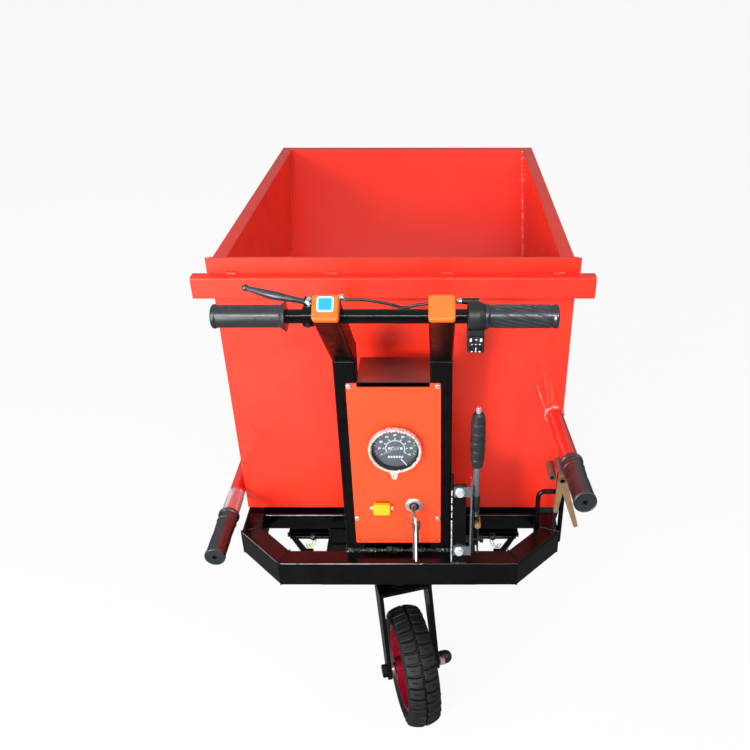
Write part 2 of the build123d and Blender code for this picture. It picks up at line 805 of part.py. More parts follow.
def make_handbrake():
    """Ratchet handbrake: a post on the bumper, a bracket bolted to it, and the lever."""
    post_x = upright_inner_x + upright_size + weld_gap
    post_out = post_x + brake_post_width
    post_y = bumper_rear_y + 4
    post_top = frame_top + brake_post_height
    post = block(post_x, post_out, post_y, post_y + brake_post_sheet, frame_top, post_top)
    post += block(post_x, post_x + brake_post_sheet, post_y, upright_rear_y, frame_top, post_top)
    bolt_x = post_x + brake_post_width * 0.55
    heights = [frame_top + brake_bolt_low, frame_top + brake_bolt_high]
    for z in heights:
        post -= rod((bolt_x, post_y - 1, z), (bolt_x, post_y + brake_post_sheet + 1, z), brake_bolt + 0.2)
    save("handbrake_post", post)

    ear_sheet = brake_ear_sheet
    web = block(brake_web_x, brake_web_x + ear_sheet, post_y - ear_sheet, post_y + 30,
                heights[0] - 12, heights[1] + 10)
    bracket = web
    for z in heights:
        ear = block(post_x + 4, brake_web_x + ear_sheet, post_y - ear_sheet, post_y, z - 11, z + 11)
        bracket += ear
        bracket -= rod((bolt_x, post_y - 6, z), (bolt_x, post_y + 1, z), brake_bolt + 0.2)
    pivot_y = post_y + 12
    pivot_z = frame_top + brake_pivot_lift
    bracket -= rod((brake_web_x - 1, pivot_y, pivot_z), (brake_web_x + 5, pivot_y, pivot_z),
                   brake_pivot + sleeve_fit)
    save("handbrake_bracket", bracket)

    bolts = []
    for z in heights:
        head = hex_head(brake_bolt_head, 7) + Cylinder(brake_washer_radius, 1.6, align=CENTRED_LOW)
        head = facing(bolt_x, post_y - ear_sheet, z) * head
        nut = facing(bolt_x, post_y + brake_post_sheet + 6, z) * hex_head(brake_bolt_head, 6)
        shank = rod((bolt_x, post_y - ear_sheet, z), (bolt_x, post_y + brake_post_sheet + 6, z), brake_bolt)
        bolts.append(head + shank + nut)

    lever_x = brake_web_x + ear_sheet + brake_side_gap + brake_shaft_radius
    lever_right = lever_x + brake_shaft_radius
    pin = rod((brake_web_x - 8, pivot_y, pivot_z), (lever_right + 8, pivot_y, pivot_z), brake_pivot)
    for x, height in ((brake_web_x - 8, 6), (lever_right + 3, 7)):
        pin += Plane(origin=(x, pivot_y, pivot_z), z_dir=(1, 0, 0)) * hex_head(brake_bolt_head, height)
    save("handbrake_bolts", *bolts, pin)

    shaft_low = pivot_z + brake_stem_from
    shaft_top = pivot_z + brake_shaft_length
    left_x = lever_x - brake_shaft_radius
    right_x = lever_x + brake_shaft_radius
    yoke_rear = pivot_y - brake_yoke_half
    yoke_front = pivot_y + brake_yoke_half
    yoke_low = pivot_z - brake_yoke_below
    yoke_top = shaft_low + brake_stem_lap
    yoke = block(left_x, right_x, yoke_rear, yoke_front, yoke_low, yoke_top)
    yoke -= block(left_x + brake_yoke_sheet, right_x - brake_yoke_sheet, yoke_rear - 1,
                  yoke_front - brake_yoke_sheet, yoke_low - 1, yoke_top + 1)
    yoke -= block(left_x + brake_yoke_sheet, right_x - brake_yoke_sheet, yoke_rear - 1, yoke_front + 1,
                  yoke_low - 1, pivot_z + 2 * brake_yoke_half / 3)
    yoke -= rod((left_x - 1, pivot_y, pivot_z), (right_x + 1, pivot_y, pivot_z), brake_pivot + sleeve_fit)
    stem = pipe((lever_x, pivot_y, shaft_low), (lever_x, pivot_y, shaft_top), brake_shaft_radius,
                brake_stem_wall)
    save("handbrake_lever", yoke + stem)

    grip_low = shaft_top - brake_grip_length + 4
    steps = 5
    pitch = brake_grip_length / (steps + 1)
    outline = [(0, brake_shaft_radius + sleeve_fit), (0, brake_grip_radius - 2)]
    for index in range(1, steps + 1):
        swell = 1.2 * math.sin(math.pi * index / (steps + 1))
        outline += [
            (index * pitch - 2, brake_grip_radius + swell), (index * pitch, brake_grip_radius - 1.2 + swell),
            (index * pitch + 2, brake_grip_radius + swell),
        ]
    outline += [(brake_grip_length - 4, brake_grip_radius - 1.5), (brake_grip_length, brake_grip_radius - 5)]
    button_bore = brake_button_radius + 0.3
    outline += [(brake_grip_length, button_bore), (brake_grip_length - 4, button_bore)]
    outline += [(brake_grip_length - 4, brake_shaft_radius + sleeve_fit)]
    upright_axis = Pos(lever_x, pivot_y, grip_low) * Rot(0, -90, 0)
    save("handbrake_grip", upright_axis * turned(outline))
    top = grip_low + brake_grip_length
    button_ends = (lever_x, pivot_y, top - 34), (lever_x, pivot_y, top + brake_button_proud)
    button = rod(*button_ends, brake_button_radius)
    button = fillet(button.faces().sort_by(Axis.Z)[-1].edges(), 1)
    save("handbrake_button", button)


def tyre(radius, width, rim_radius, rim_width, blocks, tread_depth):
    """A tyre about X with a block tread: a centre groove and staggered cross grooves."""
    half = width / 2
    bead = rim_width / 2 - rim_wall - 0.3
    bead_top = rim_radius + rim_lip + 1
    swell = half * 0.985
    shoulder_r = radius - tread_depth * 1.6
    tread = half * 0.8
    tread_edge = radius - tread_depth * 0.55
    flank = half * 0.45
    flank_r = radius - tread_depth * 0.1
    centre = width * 0.03
    floor_r = radius - tread_depth
    middle = (bead_top + shoulder_r) / 2
    left = ThreePointArc((-bead, bead_top), (-swell, middle), (-half * 0.97, shoulder_r))
    right = ThreePointArc((half * 0.97, shoulder_r), (swell, middle), (bead, bead_top))
    crown = Polyline(
        (-half * 0.97, shoulder_r), (-tread, tread_edge), (-flank, flank_r), (-centre, radius),
        (-centre, floor_r), (centre, floor_r), (centre, radius), (flank, flank_r), (tread, tread_edge),
        (half * 0.97, shoulder_r),
    )
    base = Polyline((bead, bead_top), (bead, rim_radius), (-bead, rim_radius), (-bead, bead_top))
    body = revolve(make_face([left, crown, right, base]), axis=Axis.X)
    groove_width = 2 * math.pi * radius / blocks * 0.16
    reach = half - centre
    cuts = []
    for index in range(2 * blocks):
        side = 1 if index % 2 else -1
        bar = Pos(side * (centre + reach / 2), 0, radius - tread_depth / 2 + 1) * Rot(0, 0, side * 8)
        bar = bar * Box(reach, groove_width, tread_depth + 2)
        cuts.append(Rot(180 * index / blocks, 0, 0) * bar)
    return body - cuts


def rim(width, flange_radius, hub_radius, hub_half, bore, holes):
    """A pressed steel wheel about X: two lips, a dropped well, a disc and a hub tube."""
    half = width / 2
    lip = flange_radius + rim_lip
    well = flange_radius - rim_well
    seat = flange_radius - 0.3
    wall = rim_wall
    outline = [
        (-half, lip), (-half + wall, lip), (-half + wall, seat), (-half * 0.5, seat),
        (-half * 0.4, well), (half * 0.4, well), (half * 0.5, seat),
        (half - wall, seat), (half - wall, lip), (half, lip), (half, flange_radius - 4),
        (half * 0.45, flange_radius - 4), (half * 0.35, well - wall), (4, well - wall), (4, hub_radius),
        (hub_half, hub_radius), (hub_half, bore), (-hub_half, bore), (-hub_half, hub_radius),
        (-4, hub_radius), (-4, well - wall), (-half * 0.35, well - wall),
        (-half * 0.45, flange_radius - 4), (-half, flange_radius - 4),
    ]
    wheel = turned(outline)
    middle = (hub_radius + well) / 2
    hole_radius = (well - hub_radius) * 0.3
    for index in range(holes):
        vent = rod((-20, 0, middle), (20, 0, middle), hole_radius)
        wheel -= Rot(360 * index / holes, 0, 0) * vent
    return wheel


def make_castor():
    """Trailing castor: beam under the bumper, bearing housing, fork and pneumatic wheel."""
    half = castor_beam_width / 2
    beam_top = frame_bottom
    beam_low = beam_top - castor_beam_sheet
    beam = block(-half, half, bumper_rear_y + 12, cross_rear_y + cross_size, beam_low, beam_top)
    rise = frame_top - cross_size
    riser = block(-half, half, cross_rear_y, cross_rear_y + cross_size, beam_top, rise)

    crown_top = castor_crown_z + castor_crown_sheet
    bore = castor_pin_radius + sleeve_fit
    housing = rod((0, castor_y, crown_top + 1), (0, castor_y, beam_low), castor_housing_radius)
    housing -= rod((0, castor_y, crown_top), (0, castor_y, beam_low - 4), bore)
    housing = fillet(housing.faces().sort_by(Axis.Z)[0].edges().sort_by(SortBy.LENGTH)[-1], 3)
    save("castor_beam", beam + riser + housing)

    turn = Pos(0, castor_y, 0) * Rot(0, 0, castor_turn)
    leg_x = castor_leg_gap / 2
    crown_half = castor_crown_length / 2
    crown = block(-leg_x - castor_leg_sheet, leg_x + castor_leg_sheet, -crown_half, crown_half,
                  castor_crown_z, crown_top)
    wheel_z = castor_wheel_radius
    leg = [
        (-crown_half, castor_crown_z),
        (-crown_half + castor_leg_width * 1.5, castor_crown_z),
        (-castor_trail + castor_leg_width / 2, wheel_z),
        (-castor_trail, wheel_z - castor_leg_width / 2),
        (-castor_trail - castor_leg_width / 2, wheel_z),
    ]
    leg = plate_yz(leg, leg_x, leg_x + castor_leg_sheet)
    leg += rod((leg_x, -castor_trail, wheel_z), (leg_x + castor_leg_sheet, -castor_trail, wheel_z),
               castor_leg_width / 2)
    leg -= rod((leg_x - 1, -castor_trail, wheel_z), (2 * leg_x, -castor_trail, wheel_z),
               castor_axle_radius + 0.1)
    kingpin = rod((0, 0, castor_crown_z), (0, 0, beam_low - 6), castor_pin_radius)
    save("castor_fork", turn * (crown + leg + mirror(leg, Plane.YZ) + kingpin))

    outer = leg_x + castor_leg_sheet
    bolt = rod((-outer, -castor_trail, wheel_z), (outer + axle_tail, -castor_trail, wheel_z),
               castor_axle_radius)
    for x, height in ((-outer - axle_head_height, axle_head_height), (outer, axle_nut_height)):
        bolt += Plane(origin=(x, -castor_trail, wheel_z), z_dir=(1, 0, 0)) * hex_head(axle_nut, height)
    tail_x = outer + axle_nut_height
    bolt += rod((tail_x, -castor_trail, wheel_z), (outer + axle_tail, -castor_trail, wheel_z),
                axle_tail_radius)
    hub_half = castor_tyre_width / 2 + castor_hub_proud
    spacer = rod((hub_half + castor_hub_play, -castor_trail, wheel_z), (leg_x, -castor_trail, wheel_z),
                 castor_axle_radius + axle_spacer_wall)
    save("castor_axle", turn * (bolt + both_sides(spacer)))

    hub = turn * Pos(0, -castor_trail, wheel_z)
    save("castor_tyre", hub * tyre(
        castor_wheel_radius, castor_tyre_width, castor_rim_radius, castor_rim_width, castor_tread_blocks,
        castor_tread_depth))
    bore = castor_axle_radius + sleeve_fit
    wheel = rim(castor_rim_width, castor_rim_radius, castor_hub_radius, hub_half, bore, 4)
    save("castor_rim", hub * wheel)


def make_drive():
    """Transaxle across the rails: axle tube, gear case, motor, wheels and their hangers."""
    inner_face = drive_wheel_x - drive_tyre_width / 2
    tube_x = inner_face - axle_tube_clear
    tube = rod((-tube_x, drive_y, axle_z), (tube_x, drive_y, axle_z), axle_tube_radius)
    case = Pos(gearcase_x, drive_y, axle_z) * turned(
        [(-gearcase_width / 2, 0), (-gearcase_width / 2, gearcase_radius * 0.6),
         (-gearcase_width / 4, gearcase_radius), (gearcase_width / 4, gearcase_radius),
         (gearcase_width / 2, gearcase_radius * 0.6), (gearcase_width / 2, 0)]
    )
    snout = rod((gearcase_x, drive_y - motor_drop_y, axle_z), (gearcase_x, drive_y, axle_z),
                gearcase_radius * 0.6)
    spindle = rod((-hub_end(), drive_y, axle_z), (hub_end(), drive_y, axle_z), drive_shaft_radius)
    save("axle_housing", tube + case + snout + spindle)

    motor = turned([
        (0, 0), (0, motor_radius), (motor_length - 8, motor_radius), (motor_length, motor_radius - 8),
        (motor_length, 0),
    ])
    flange = turned([(-8, 0), (-8, motor_radius + 6), (0, motor_radius + 6), (0, 0)])
    start = gearcase_x + gearcase_radius * 0.6 + 8
    save("drive_motor", Pos(start, drive_y - motor_drop_y, axle_z) * (motor + flange))

    nuts = []
    for name, side in (("left", -1), ("right", 1)):
        place = Pos(side * drive_wheel_x, drive_y, axle_z)
        save(f"drive_tyre_{name}", place * tyre(
            drive_wheel_radius, drive_tyre_width, drive_rim_radius, drive_rim_width, drive_tread_blocks,
            drive_tread_depth))
        bore = drive_shaft_radius + sleeve_fit
        wheel = rim(drive_rim_width, drive_rim_radius, drive_hub_radius, drive_hub_half, bore, 5)
        save(f"drive_rim_{name}", place * wheel)
        cap_x = side * (drive_wheel_x + drive_hub_half + wheel_nut_gap)
        cap = Plane(origin=(cap_x, drive_y, axle_z), z_dir=(side, 0, 0)) * (
            Cylinder(wheel_washer_radius, wheel_washer, align=CENTRED_LOW)
            + Pos(0, 0, wheel_washer) * hex_head(wheel_nut, wheel_nut_height))
        past_x = cap_x + side * 2 * (wheel_washer + wheel_nut_height)
        cap -= rod((cap_x, drive_y, axle_z), (past_x, drive_y, axle_z), drive_shaft_radius + sleeve_fit)
        nuts.append(cap)
    save("wheel_nuts", *nuts)

    plate_low = axle_z - axle_tube_radius - hanger_edge
    plate_top = hinge_z + hinge_pin_radius + hinge_edge
    rail_out = main_rail_x + rail_width / 2
    outline = [
        (drive_y - hanger_half, plate_low), (drive_y + hanger_half, plate_low),
        (drive_y + hanger_half, axle_z), (main_rail_end_y, frame_bottom), (hinge_y + hanger_root, frame_top),
        (hinge_y + hinge_boss, hinge_z), (hinge_y + hinge_boss / 2, plate_top),
        (hinge_y - hinge_boss / 2, plate_top), (hinge_y - hinge_boss, hinge_z),
        (hinge_y - hanger_root, frame_top), (hinge_y - hanger_root, frame_bottom),
        (drive_y - hanger_half, axle_z),
    ]
    plate = plate_yz(outline, rail_out, rail_out + hinge_plate)
    plate -= rod((0, drive_y, axle_z), (frame_half_width, drive_y, axle_z), axle_tube_radius + 0.1)
    plate -= rod((0, hinge_y, hinge_z), (frame_half_width, hinge_y, hinge_z), hinge_pin_radius + 0.1)
    save("side_plates", *both_sides(plate))
    pin_half = rail_out + hinge_plate + 8
    pin = rod((-pin_half, hinge_y, hinge_z), (pin_half, hinge_y, hinge_z), hinge_pin_radius)
    save("hinge_pin", pin)


def hub_end():
    """How far each wheel spindle reaches from the middle."""
    return drive_wheel_x + drive_hub_half + spindle_proud


def make_battery():
    """A shallow tray hung under the rails, with the battery pack in it."""
    tray = block(-tray_half_width, tray_half_width, tray_rear_y, tray_front_y, tray_z, tray_z + sheet)
    for y0, y1 in ((tray_rear_y, tray_rear_y + sheet), (tray_front_y - sheet, tray_front_y)):
        tray += block(-tray_half_width, tray_half_width, y0, y1, tray_z, tray_z + tray_lip)
    rail_in = main_rail_x - rail_width / 2
    rail_out = main_rail_x + rail_width / 2
    for y in (tray_rear_y + 30, tray_front_y - 60):
        strap = block(rail_in, rail_out, y, y + 30, tray_z + sheet, frame_bottom)
        strap -= block(rail_in + 4, rail_out - 4, y - 1, y + 31, tray_z + sheet + 4, frame_bottom - 4)
        tray += strap
        tray += mirror(strap, Plane.YZ)
    save("battery_tray", tray)
    low = tray_z + sheet
    pack = block(
        -battery_half_width, battery_half_width, tray_rear_y + sheet + battery_inset,
        tray_front_y - sheet - battery_inset, low, low + battery_height,
    )
    pack = fillet(pack.edges().filter_by(Axis.Z), 8)
    save("battery_pack", pack)


def make_brake_rod():
    """A black rod that carries the handbrake's pull across to a crank at each end."""
    rod_y = tray_rear_y - brake_rod_radius
    rod_z = tray_z + brake_rod_radius
    bar = rod((-brake_rod_half, rod_y, rod_z), (brake_rod_half, rod_y, rod_z), brake_rod_radius)
    top_x = brake_rod_half - brake_arm_width
    low_x = top_x - brake_rod_lean
    low_z = rod_z - brake_rod_drop
    outline = [
        (top_x, rod_z + brake_rod_radius), (top_x + brake_arm_width, rod_z + brake_rod_radius),
        (low_x + brake_arm_width, low_z), (low_x - brake_rod_foot, low_z),
        (low_x - brake_rod_foot, low_z + brake_arm_width / 2), (low_x, low_z + brake_arm_width / 2),
    ]
    crank = extrude(facing(0, rod_y, 0) * make_face(Polyline(*outline, close=True)), amount=brake_rod_radius)
    save("brake_rod", bar + both_sides(crank))


def wall_y(z):
    """Where the sloping front wall's inner face stands at a height."""
    return bucket_floor_front + (z - bucket_floor_z) * front_slope


def make_bucket():
    """Tipping bucket: floor, sloped front, rear panel, sides, rim and rear stiffeners."""
    inner = bucket_half_width
    outer = inner + bucket_sheet
    floor_top = bucket_floor_z + bucket_sheet
    lean = bucket_sheet * math.sqrt(1 + front_slope ** 2)
    rear_inner = bucket_rear_y + bucket_sheet
    floor = block(-outer, outer, rear_inner, bucket_floor_front, bucket_floor_z, floor_top)
    save("bucket_floor", floor)
    rear = block(-rear_panel_half, rear_panel_half, bucket_rear_y, rear_inner, bucket_floor_z, bucket_top)
    save("bucket_rear_panel", rear)
    front = [
        (wall_y(bucket_floor_z), bucket_floor_z), (wall_y(bucket_floor_z) + lean, bucket_floor_z),
        (wall_y(bucket_top) + lean, bucket_top), (wall_y(bucket_top), bucket_top),
    ]
    save("bucket_front_panel", plate_yz(front, -outer, outer))
    side = [
        (rear_inner, floor_top), (wall_y(floor_top), floor_top),
        (wall_y(bucket_top), bucket_top), (rear_inner, bucket_top),
    ]
    save("bucket_sides", *both_sides(plate_yz(side, inner, outer)))

    low = bucket_top - rim_width
    front_y = wall_y(bucket_top) + lean
    rim_bar = block(outer, outer + rim_width, rear_inner, front_y, bucket_top - rim_sheet, bucket_top)
    rim_bar += block(outer + rim_width - rim_sheet, outer + rim_width, rear_inner, front_y, low, bucket_top)
    front_out = front_y + rim_width
    rim_out = outer + rim_width
    front_bar = block(-rim_out, rim_out, front_y, front_out, bucket_top - rim_sheet, bucket_top)
    front_bar += block(-rim_out, rim_out, front_out - rim_sheet, front_out, low, bucket_top)
    save("bucket_rim", *both_sides(rim_bar), front_bar)

    band_low = bucket_top - band_height
    band = block(-band_half_width, band_half_width, bucket_rear_y - band_sheet, bucket_rear_y,
                 band_low, bucket_top)
    strip_low = band_low - strip_height
    strip = square_tube(
        -strip_half_width, strip_half_width, bucket_rear_y - strip_depth, bucket_rear_y,
        strip_low, band_low, strip_wall, strip_corner, "x",
    )
    save("rear_stiffeners", band, strip)

    lug_top = hinge_z + lug_rise
    eye = hinge_pin_radius + hinge_eye
    lug = [
        (wall_y(bucket_floor_z) + lean, bucket_floor_z), (hinge_y, hinge_z - eye), (hinge_y + eye, hinge_z),
        (hinge_y + lug_shoulder_y, hinge_z + lug_shoulder_z), (wall_y(lug_top) + lean, lug_top),
    ]
    rail_in = main_rail_x - rail_width / 2
    lug = plate_yz(lug, rail_in - hinge_lug, rail_in)
    lug -= rod((0, hinge_y, hinge_z), (frame_half_width, hinge_y, hinge_z), hinge_pin_radius + hinge_fit)
    save("hinge_lugs", *both_sides(lug))
    make_handles(outer)


def make_handles(outer):
    """Lifting handles: the right one off the rear panel, the left one along the side."""
    rise = Pos(right_handle_x, bucket_rear_y, right_handle_z)
    rise *= Rot(-right_handle_rise, 0, right_handle_spread)
    right = rise * pipe((0, 1, 0), (0, -right_handle_length, 0), handle_radius, handle_wall)
    past = 2 * handle_radius
    right -= block(right_handle_x - past, right_handle_x + past, bucket_rear_y, bucket_rear_y + past,
                   right_handle_z - past, right_handle_z + past)
    left_x = -rear_panel_half - handle_radius
    left_ends = (left_x, left_handle_front_y, left_handle_z), (left_x, left_handle_end_y, left_handle_z)
    left = rod(*left_ends, handle_radius)
    for y in (left_handle_front_y, bucket_rear_y + left_strut_rear):
        left += block(left_x, -outer, y - left_strut_length, y,
                      left_handle_z - left_strut_half, left_handle_z + left_strut_half)
    left -= rod(*left_ends, handle_radius - handle_wall)
    save("bucket_handles", right, left)

    bore = handle_radius + sleeve_fit
    outline = grip_outline(
        bucket_grip_length, bore, bucket_grip_radius, bucket_grip_collar, bucket_grip_vent, 1
    )
    grip = Rot(0, 0, -90) * turned(outline)
    back = grip_wall_end - bucket_grip_length
    right_grip = rise * Pos(0, -right_handle_length - back, 0) * grip
    left_grip = Pos(left_x, left_handle_end_y - back, left_handle_z) * grip
    save("bucket_grips", left_grip, right_grip)


def make_lock():
    """Lock loop on the right rail, and the sleeve, bolt and fork on the bucket over it."""
    inner_x = rail_inner_x - loop_radius
    outer_x = frame_half_width + loop_radius
    points = [(inner_x, loop_y, loop_foot_z), (inner_x, loop_y, loop_top),
              (outer_x, loop_y, loop_top), (outer_x, loop_y, loop_foot_z)]
    save("lock_loop", cable(points, loop_radius, loop_bend))

    end_y = bucket_rear_y - sleeve_length
    sleeve = pipe((sleeve_x, bucket_rear_y, sleeve_z), (sleeve_x, end_y, sleeve_z),
                  sleeve_radius, sleeve_radius - sleeve_bore)
    fork_front = loop_y - loop_radius - latch_gap
    fork_rear = fork_front - latch_plate
    bolt = rod((latch_bolt_x, bucket_rear_y, latch_bolt_z), (latch_bolt_x, fork_rear - 1, latch_bolt_z),
               latch_bolt_radius)
    bolt += rod((latch_bolt_x, bucket_rear_y, latch_bolt_z),
                (latch_bolt_x, fork_front + 0.4, latch_bolt_z), latch_collar_radius)
    bolt += facing(latch_bolt_x, fork_rear - 0.5, latch_bolt_z) * hex_head(13, 6)
    save("latch_mount", sleeve, bolt)

    eye = Circle(latch_leg_width * 0.75)
    half = latch_leg_width / 2
    left_end = Pos(-latch_leg_width * 0.6, -latch_left_leg) * Circle(half * 0.8)
    spread = math.radians(latch_spread)
    right_end = Pos(latch_right_leg * math.sin(spread), -latch_right_leg * math.cos(spread))
    right_end = right_end * Circle(half * 0.9)
    flat = make_hull(eye.edges() + left_end.edges()) + make_hull(eye.edges() + right_end.edges())
    flat -= Circle(latch_bolt_radius + sleeve_fit)
    fork = extrude(facing(latch_bolt_x, fork_front, latch_bolt_z) * flat, amount=latch_plate)
    save("latch_fork", fork)


def make_pads():
    """Rubber pads on the rails that the bucket's floor comes down on."""
    half = rail_width / 2 - pad_inset
    pads = []
    for y in (cross_rear_y + cross_size + pad_rear_gap, main_rail_end_y - pad_front_gap):
        pad = block(main_rail_x - half, main_rail_x + half, y, y + pad_length, frame_top, bucket_floor_z)
        pads += both_sides(pad)
    save("bucket_pads", *pads)


os.makedirs("parts", exist_ok=True)
make_chassis()
make_uprights()
make_controls()
make_console()
make_handbrake()
make_castor()
make_drive()
make_battery()
make_brake_rod()
make_bucket()
make_lock()
make_pads()
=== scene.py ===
import math
import bpy
from mathutils import Matrix, Vector


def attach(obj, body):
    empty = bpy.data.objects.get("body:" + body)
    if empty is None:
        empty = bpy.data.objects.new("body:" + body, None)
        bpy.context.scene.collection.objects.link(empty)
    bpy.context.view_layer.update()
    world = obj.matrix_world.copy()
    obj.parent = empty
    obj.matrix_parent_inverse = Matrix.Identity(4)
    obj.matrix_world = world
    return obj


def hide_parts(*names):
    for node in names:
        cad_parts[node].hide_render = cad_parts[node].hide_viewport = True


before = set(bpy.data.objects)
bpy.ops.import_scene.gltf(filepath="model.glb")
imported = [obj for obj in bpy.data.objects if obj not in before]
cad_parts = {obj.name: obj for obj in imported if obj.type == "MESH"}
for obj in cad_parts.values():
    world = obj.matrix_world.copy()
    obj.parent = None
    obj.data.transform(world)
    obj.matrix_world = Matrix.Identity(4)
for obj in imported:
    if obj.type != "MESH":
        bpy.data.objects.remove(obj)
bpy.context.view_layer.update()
bpy.context.scene.view_settings.view_transform = "Standard"


# The photographer's place: standing behind the handlebar and a little to its right,
# with a short lens held level and tipped down at the console.
eye_place = (0.080, -1.527, 1.520)
eye_pitch = math.radians(59.2)
picture_width = 750
sideways_pixels = -63
bpy.ops.object.camera_add(location=eye_place, rotation=(eye_pitch, 0, 0))
eye = bpy.context.object
eye.data.lens = 37.44
eye.data.sensor_width = 36
eye.data.shift_x = sideways_pixels / picture_width
eye.data.clip_end = 100
bpy.context.scene.camera = eye


# The studio floor: a wide sheet of matt white paper that runs out of sight behind the trolley.
# It keeps a soft shadow. The paint and the bright metal mirror it as the grey floor of a workshop.
def linear(hex_colour):
    """An sRGB hex colour as the linear values that a shader takes."""
    parts = [int(hex_colour[i:i + 2], 16) / 255 for i in (1, 3, 5)]
    return [c / 12.92 if c <= 0.04045 else ((c + 0.055) / 1.055) ** 2.4 for c in parts] + [1]


def per_mm(size):
    """A texture scale whose grain is about that many millimetres across."""
    return 1000 / size


def add(tree, kind, links=None, **settings):
    """One node with its settings; links gives a socket a value or another node's output."""
    made = tree.nodes.new(kind)
    for name, value in settings.items():
        setattr(made, name, value)
    for socket, value in (links or {}).items():
        if isinstance(value, bpy.types.NodeSocket):
            tree.links.new(value, made.inputs[socket])
        else:
            made.inputs[socket].default_value = value
    return made


def blank_material(name):
    """A new material, its empty node tree and the object coordinates that its patterns follow."""
    material = bpy.data.materials.new(name)
    material.use_nodes = True
    tree = material.node_tree
    tree.nodes.clear()
    return material, tree, add(tree, "ShaderNodeTexCoord").outputs["Object"]


def deselect():
    """Leaves nothing selected, so that an operator acts on the new piece alone."""
    for chosen in bpy.context.selected_objects:
        chosen.select_set(False)


deselect()
bpy.ops.mesh.primitive_plane_add(size=80)
floor = bpy.context.object
floor.name = "studio_floor"
paper, tree, place = blank_material("matt_white_paper")
seen = add(tree, "ShaderNodeLightPath")
straight = add(tree, "ShaderNodeMath",
               {0: seen.outputs["Is Camera Ray"], 1: seen.outputs["Is Transmission Ray"]},
               operation="MAXIMUM")
share = add(tree, "ShaderNodeMath", {0: straight.outputs[0], 1: 0.92}, operation="MULTIPLY")
fibre = add(tree, "ShaderNodeTexNoise", {"Vector": place, "Scale": per_mm(2.5), "Detail": 2.0})
tint = add(tree, "ShaderNodeMix", {0: fibre.outputs[0], 6: linear("#F6F6F5"), 7: linear("#FEFEFE")},
           data_type="RGBA")
shade = add(tree, "ShaderNodeMix",
            {0: seen.outputs["Is Glossy Ray"], 6: tint.outputs[2], 7: linear("#727272")}, data_type="RGBA")
matt = add(tree, "ShaderNodeBsdfDiffuse", {"Color": shade.outputs[2]})
white = add(tree, "ShaderNodeEmission", {"Strength": 1.0})
both = add(tree, "ShaderNodeMixShader", {0: share.outputs[0], 1: matt.outputs[0], 2: white.outputs[0]})
add(tree, "ShaderNodeOutputMaterial", {"Surface": both.outputs[0]})
floor.data.materials.append(paper)


# The studio light: a big soft lamp on the operator's left at head height, a weaker one on the right, two long
# tubes that draw lines along the rounded edges, and a pale room that fills the shadows.
def lamp(name, place, aim, size, power):
    """A lamp of a given width and height, turned to the point that it lights."""
    deselect()
    bpy.ops.object.light_add(type="AREA", location=place)
    made = bpy.context.object
    made.name = name
    made.data.shape = "RECTANGLE"
    made.data.size, made.data.size_y = size
    made.data.energy = power
    made.rotation_euler = (Vector(aim) - Vector(place)).to_track_quat("-Z", "Y").to_euler()


lamp("lamp_left", (-2.2, -3.3, 1.35), (0, -0.2, 0.6), (1.3, 1.5), 160)
lamp("lamp_right", (3.2, -1.6, 2.6), (0, 0, 0.6), (1.6, 1.6), 18)
lamp("tube_behind", (0.08, -2.05, 2.12), (0.0, -0.3, 0.5), (2.6, 0.10), 34)
lamp("tube_left", (-2.4, -1.5, 1.5), (-0.2, -0.3, 0.6), (0.10, 2.0), 18)
room = bpy.data.worlds.new("pale_room")
bpy.context.scene.world = room
room.use_nodes = True
tree = room.node_tree
tree.nodes.clear()
seen = add(tree, "ShaderNodeLightPath")
way = add(tree, "ShaderNodeTexCoord")
height = add(tree, "ShaderNodeSeparateXYZ", {"Vector": way.outputs["Generated"]})
ceiling = add(tree, "ShaderNodeMapRange", {0: height.outputs["Z"], 1: 0.0, 2: 0.8, 3: 0.25, 4: 0.55})
walls = add(tree, "ShaderNodeMapRange", {0: height.outputs["Z"], 1: 0.1, 2: 0.8, 3: 0.62, 4: 0.22})
fill = add(tree, "ShaderNodeMix",
           {0: seen.outputs["Is Glossy Ray"], 2: walls.outputs[0], 3: ceiling.outputs[0]})
straight = add(tree, "ShaderNodeMath",
               {0: seen.outputs["Is Camera Ray"], 1: seen.outputs["Is Transmission Ray"]},
               operation="MAXIMUM")
level = add(tree, "ShaderNodeMix", {0: straight.outputs[0], 2: fill.outputs[0], 3: 1.0})
sky = add(tree, "ShaderNodeBackground", {"Color": linear("#FFFFFF"), "Strength": level.outputs[0]})
add(tree, "ShaderNodeOutputWorld", {"Surface": sky.outputs[0]})


# The chassis: a bumper of 40 by 60 tube with mitred corners, a ladder under the bucket, the castor's beam
# and fork, the side plates that carry the axle and the hinge, and the small black pieces fixed to them.
# It is welded steel under sprayed gloss black enamel.
def dress(material, *names):
    """Gives CAD nodes a material."""
    for name in names:
        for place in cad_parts[name].material_slots:
            place.link = "OBJECT"
            place.material = material


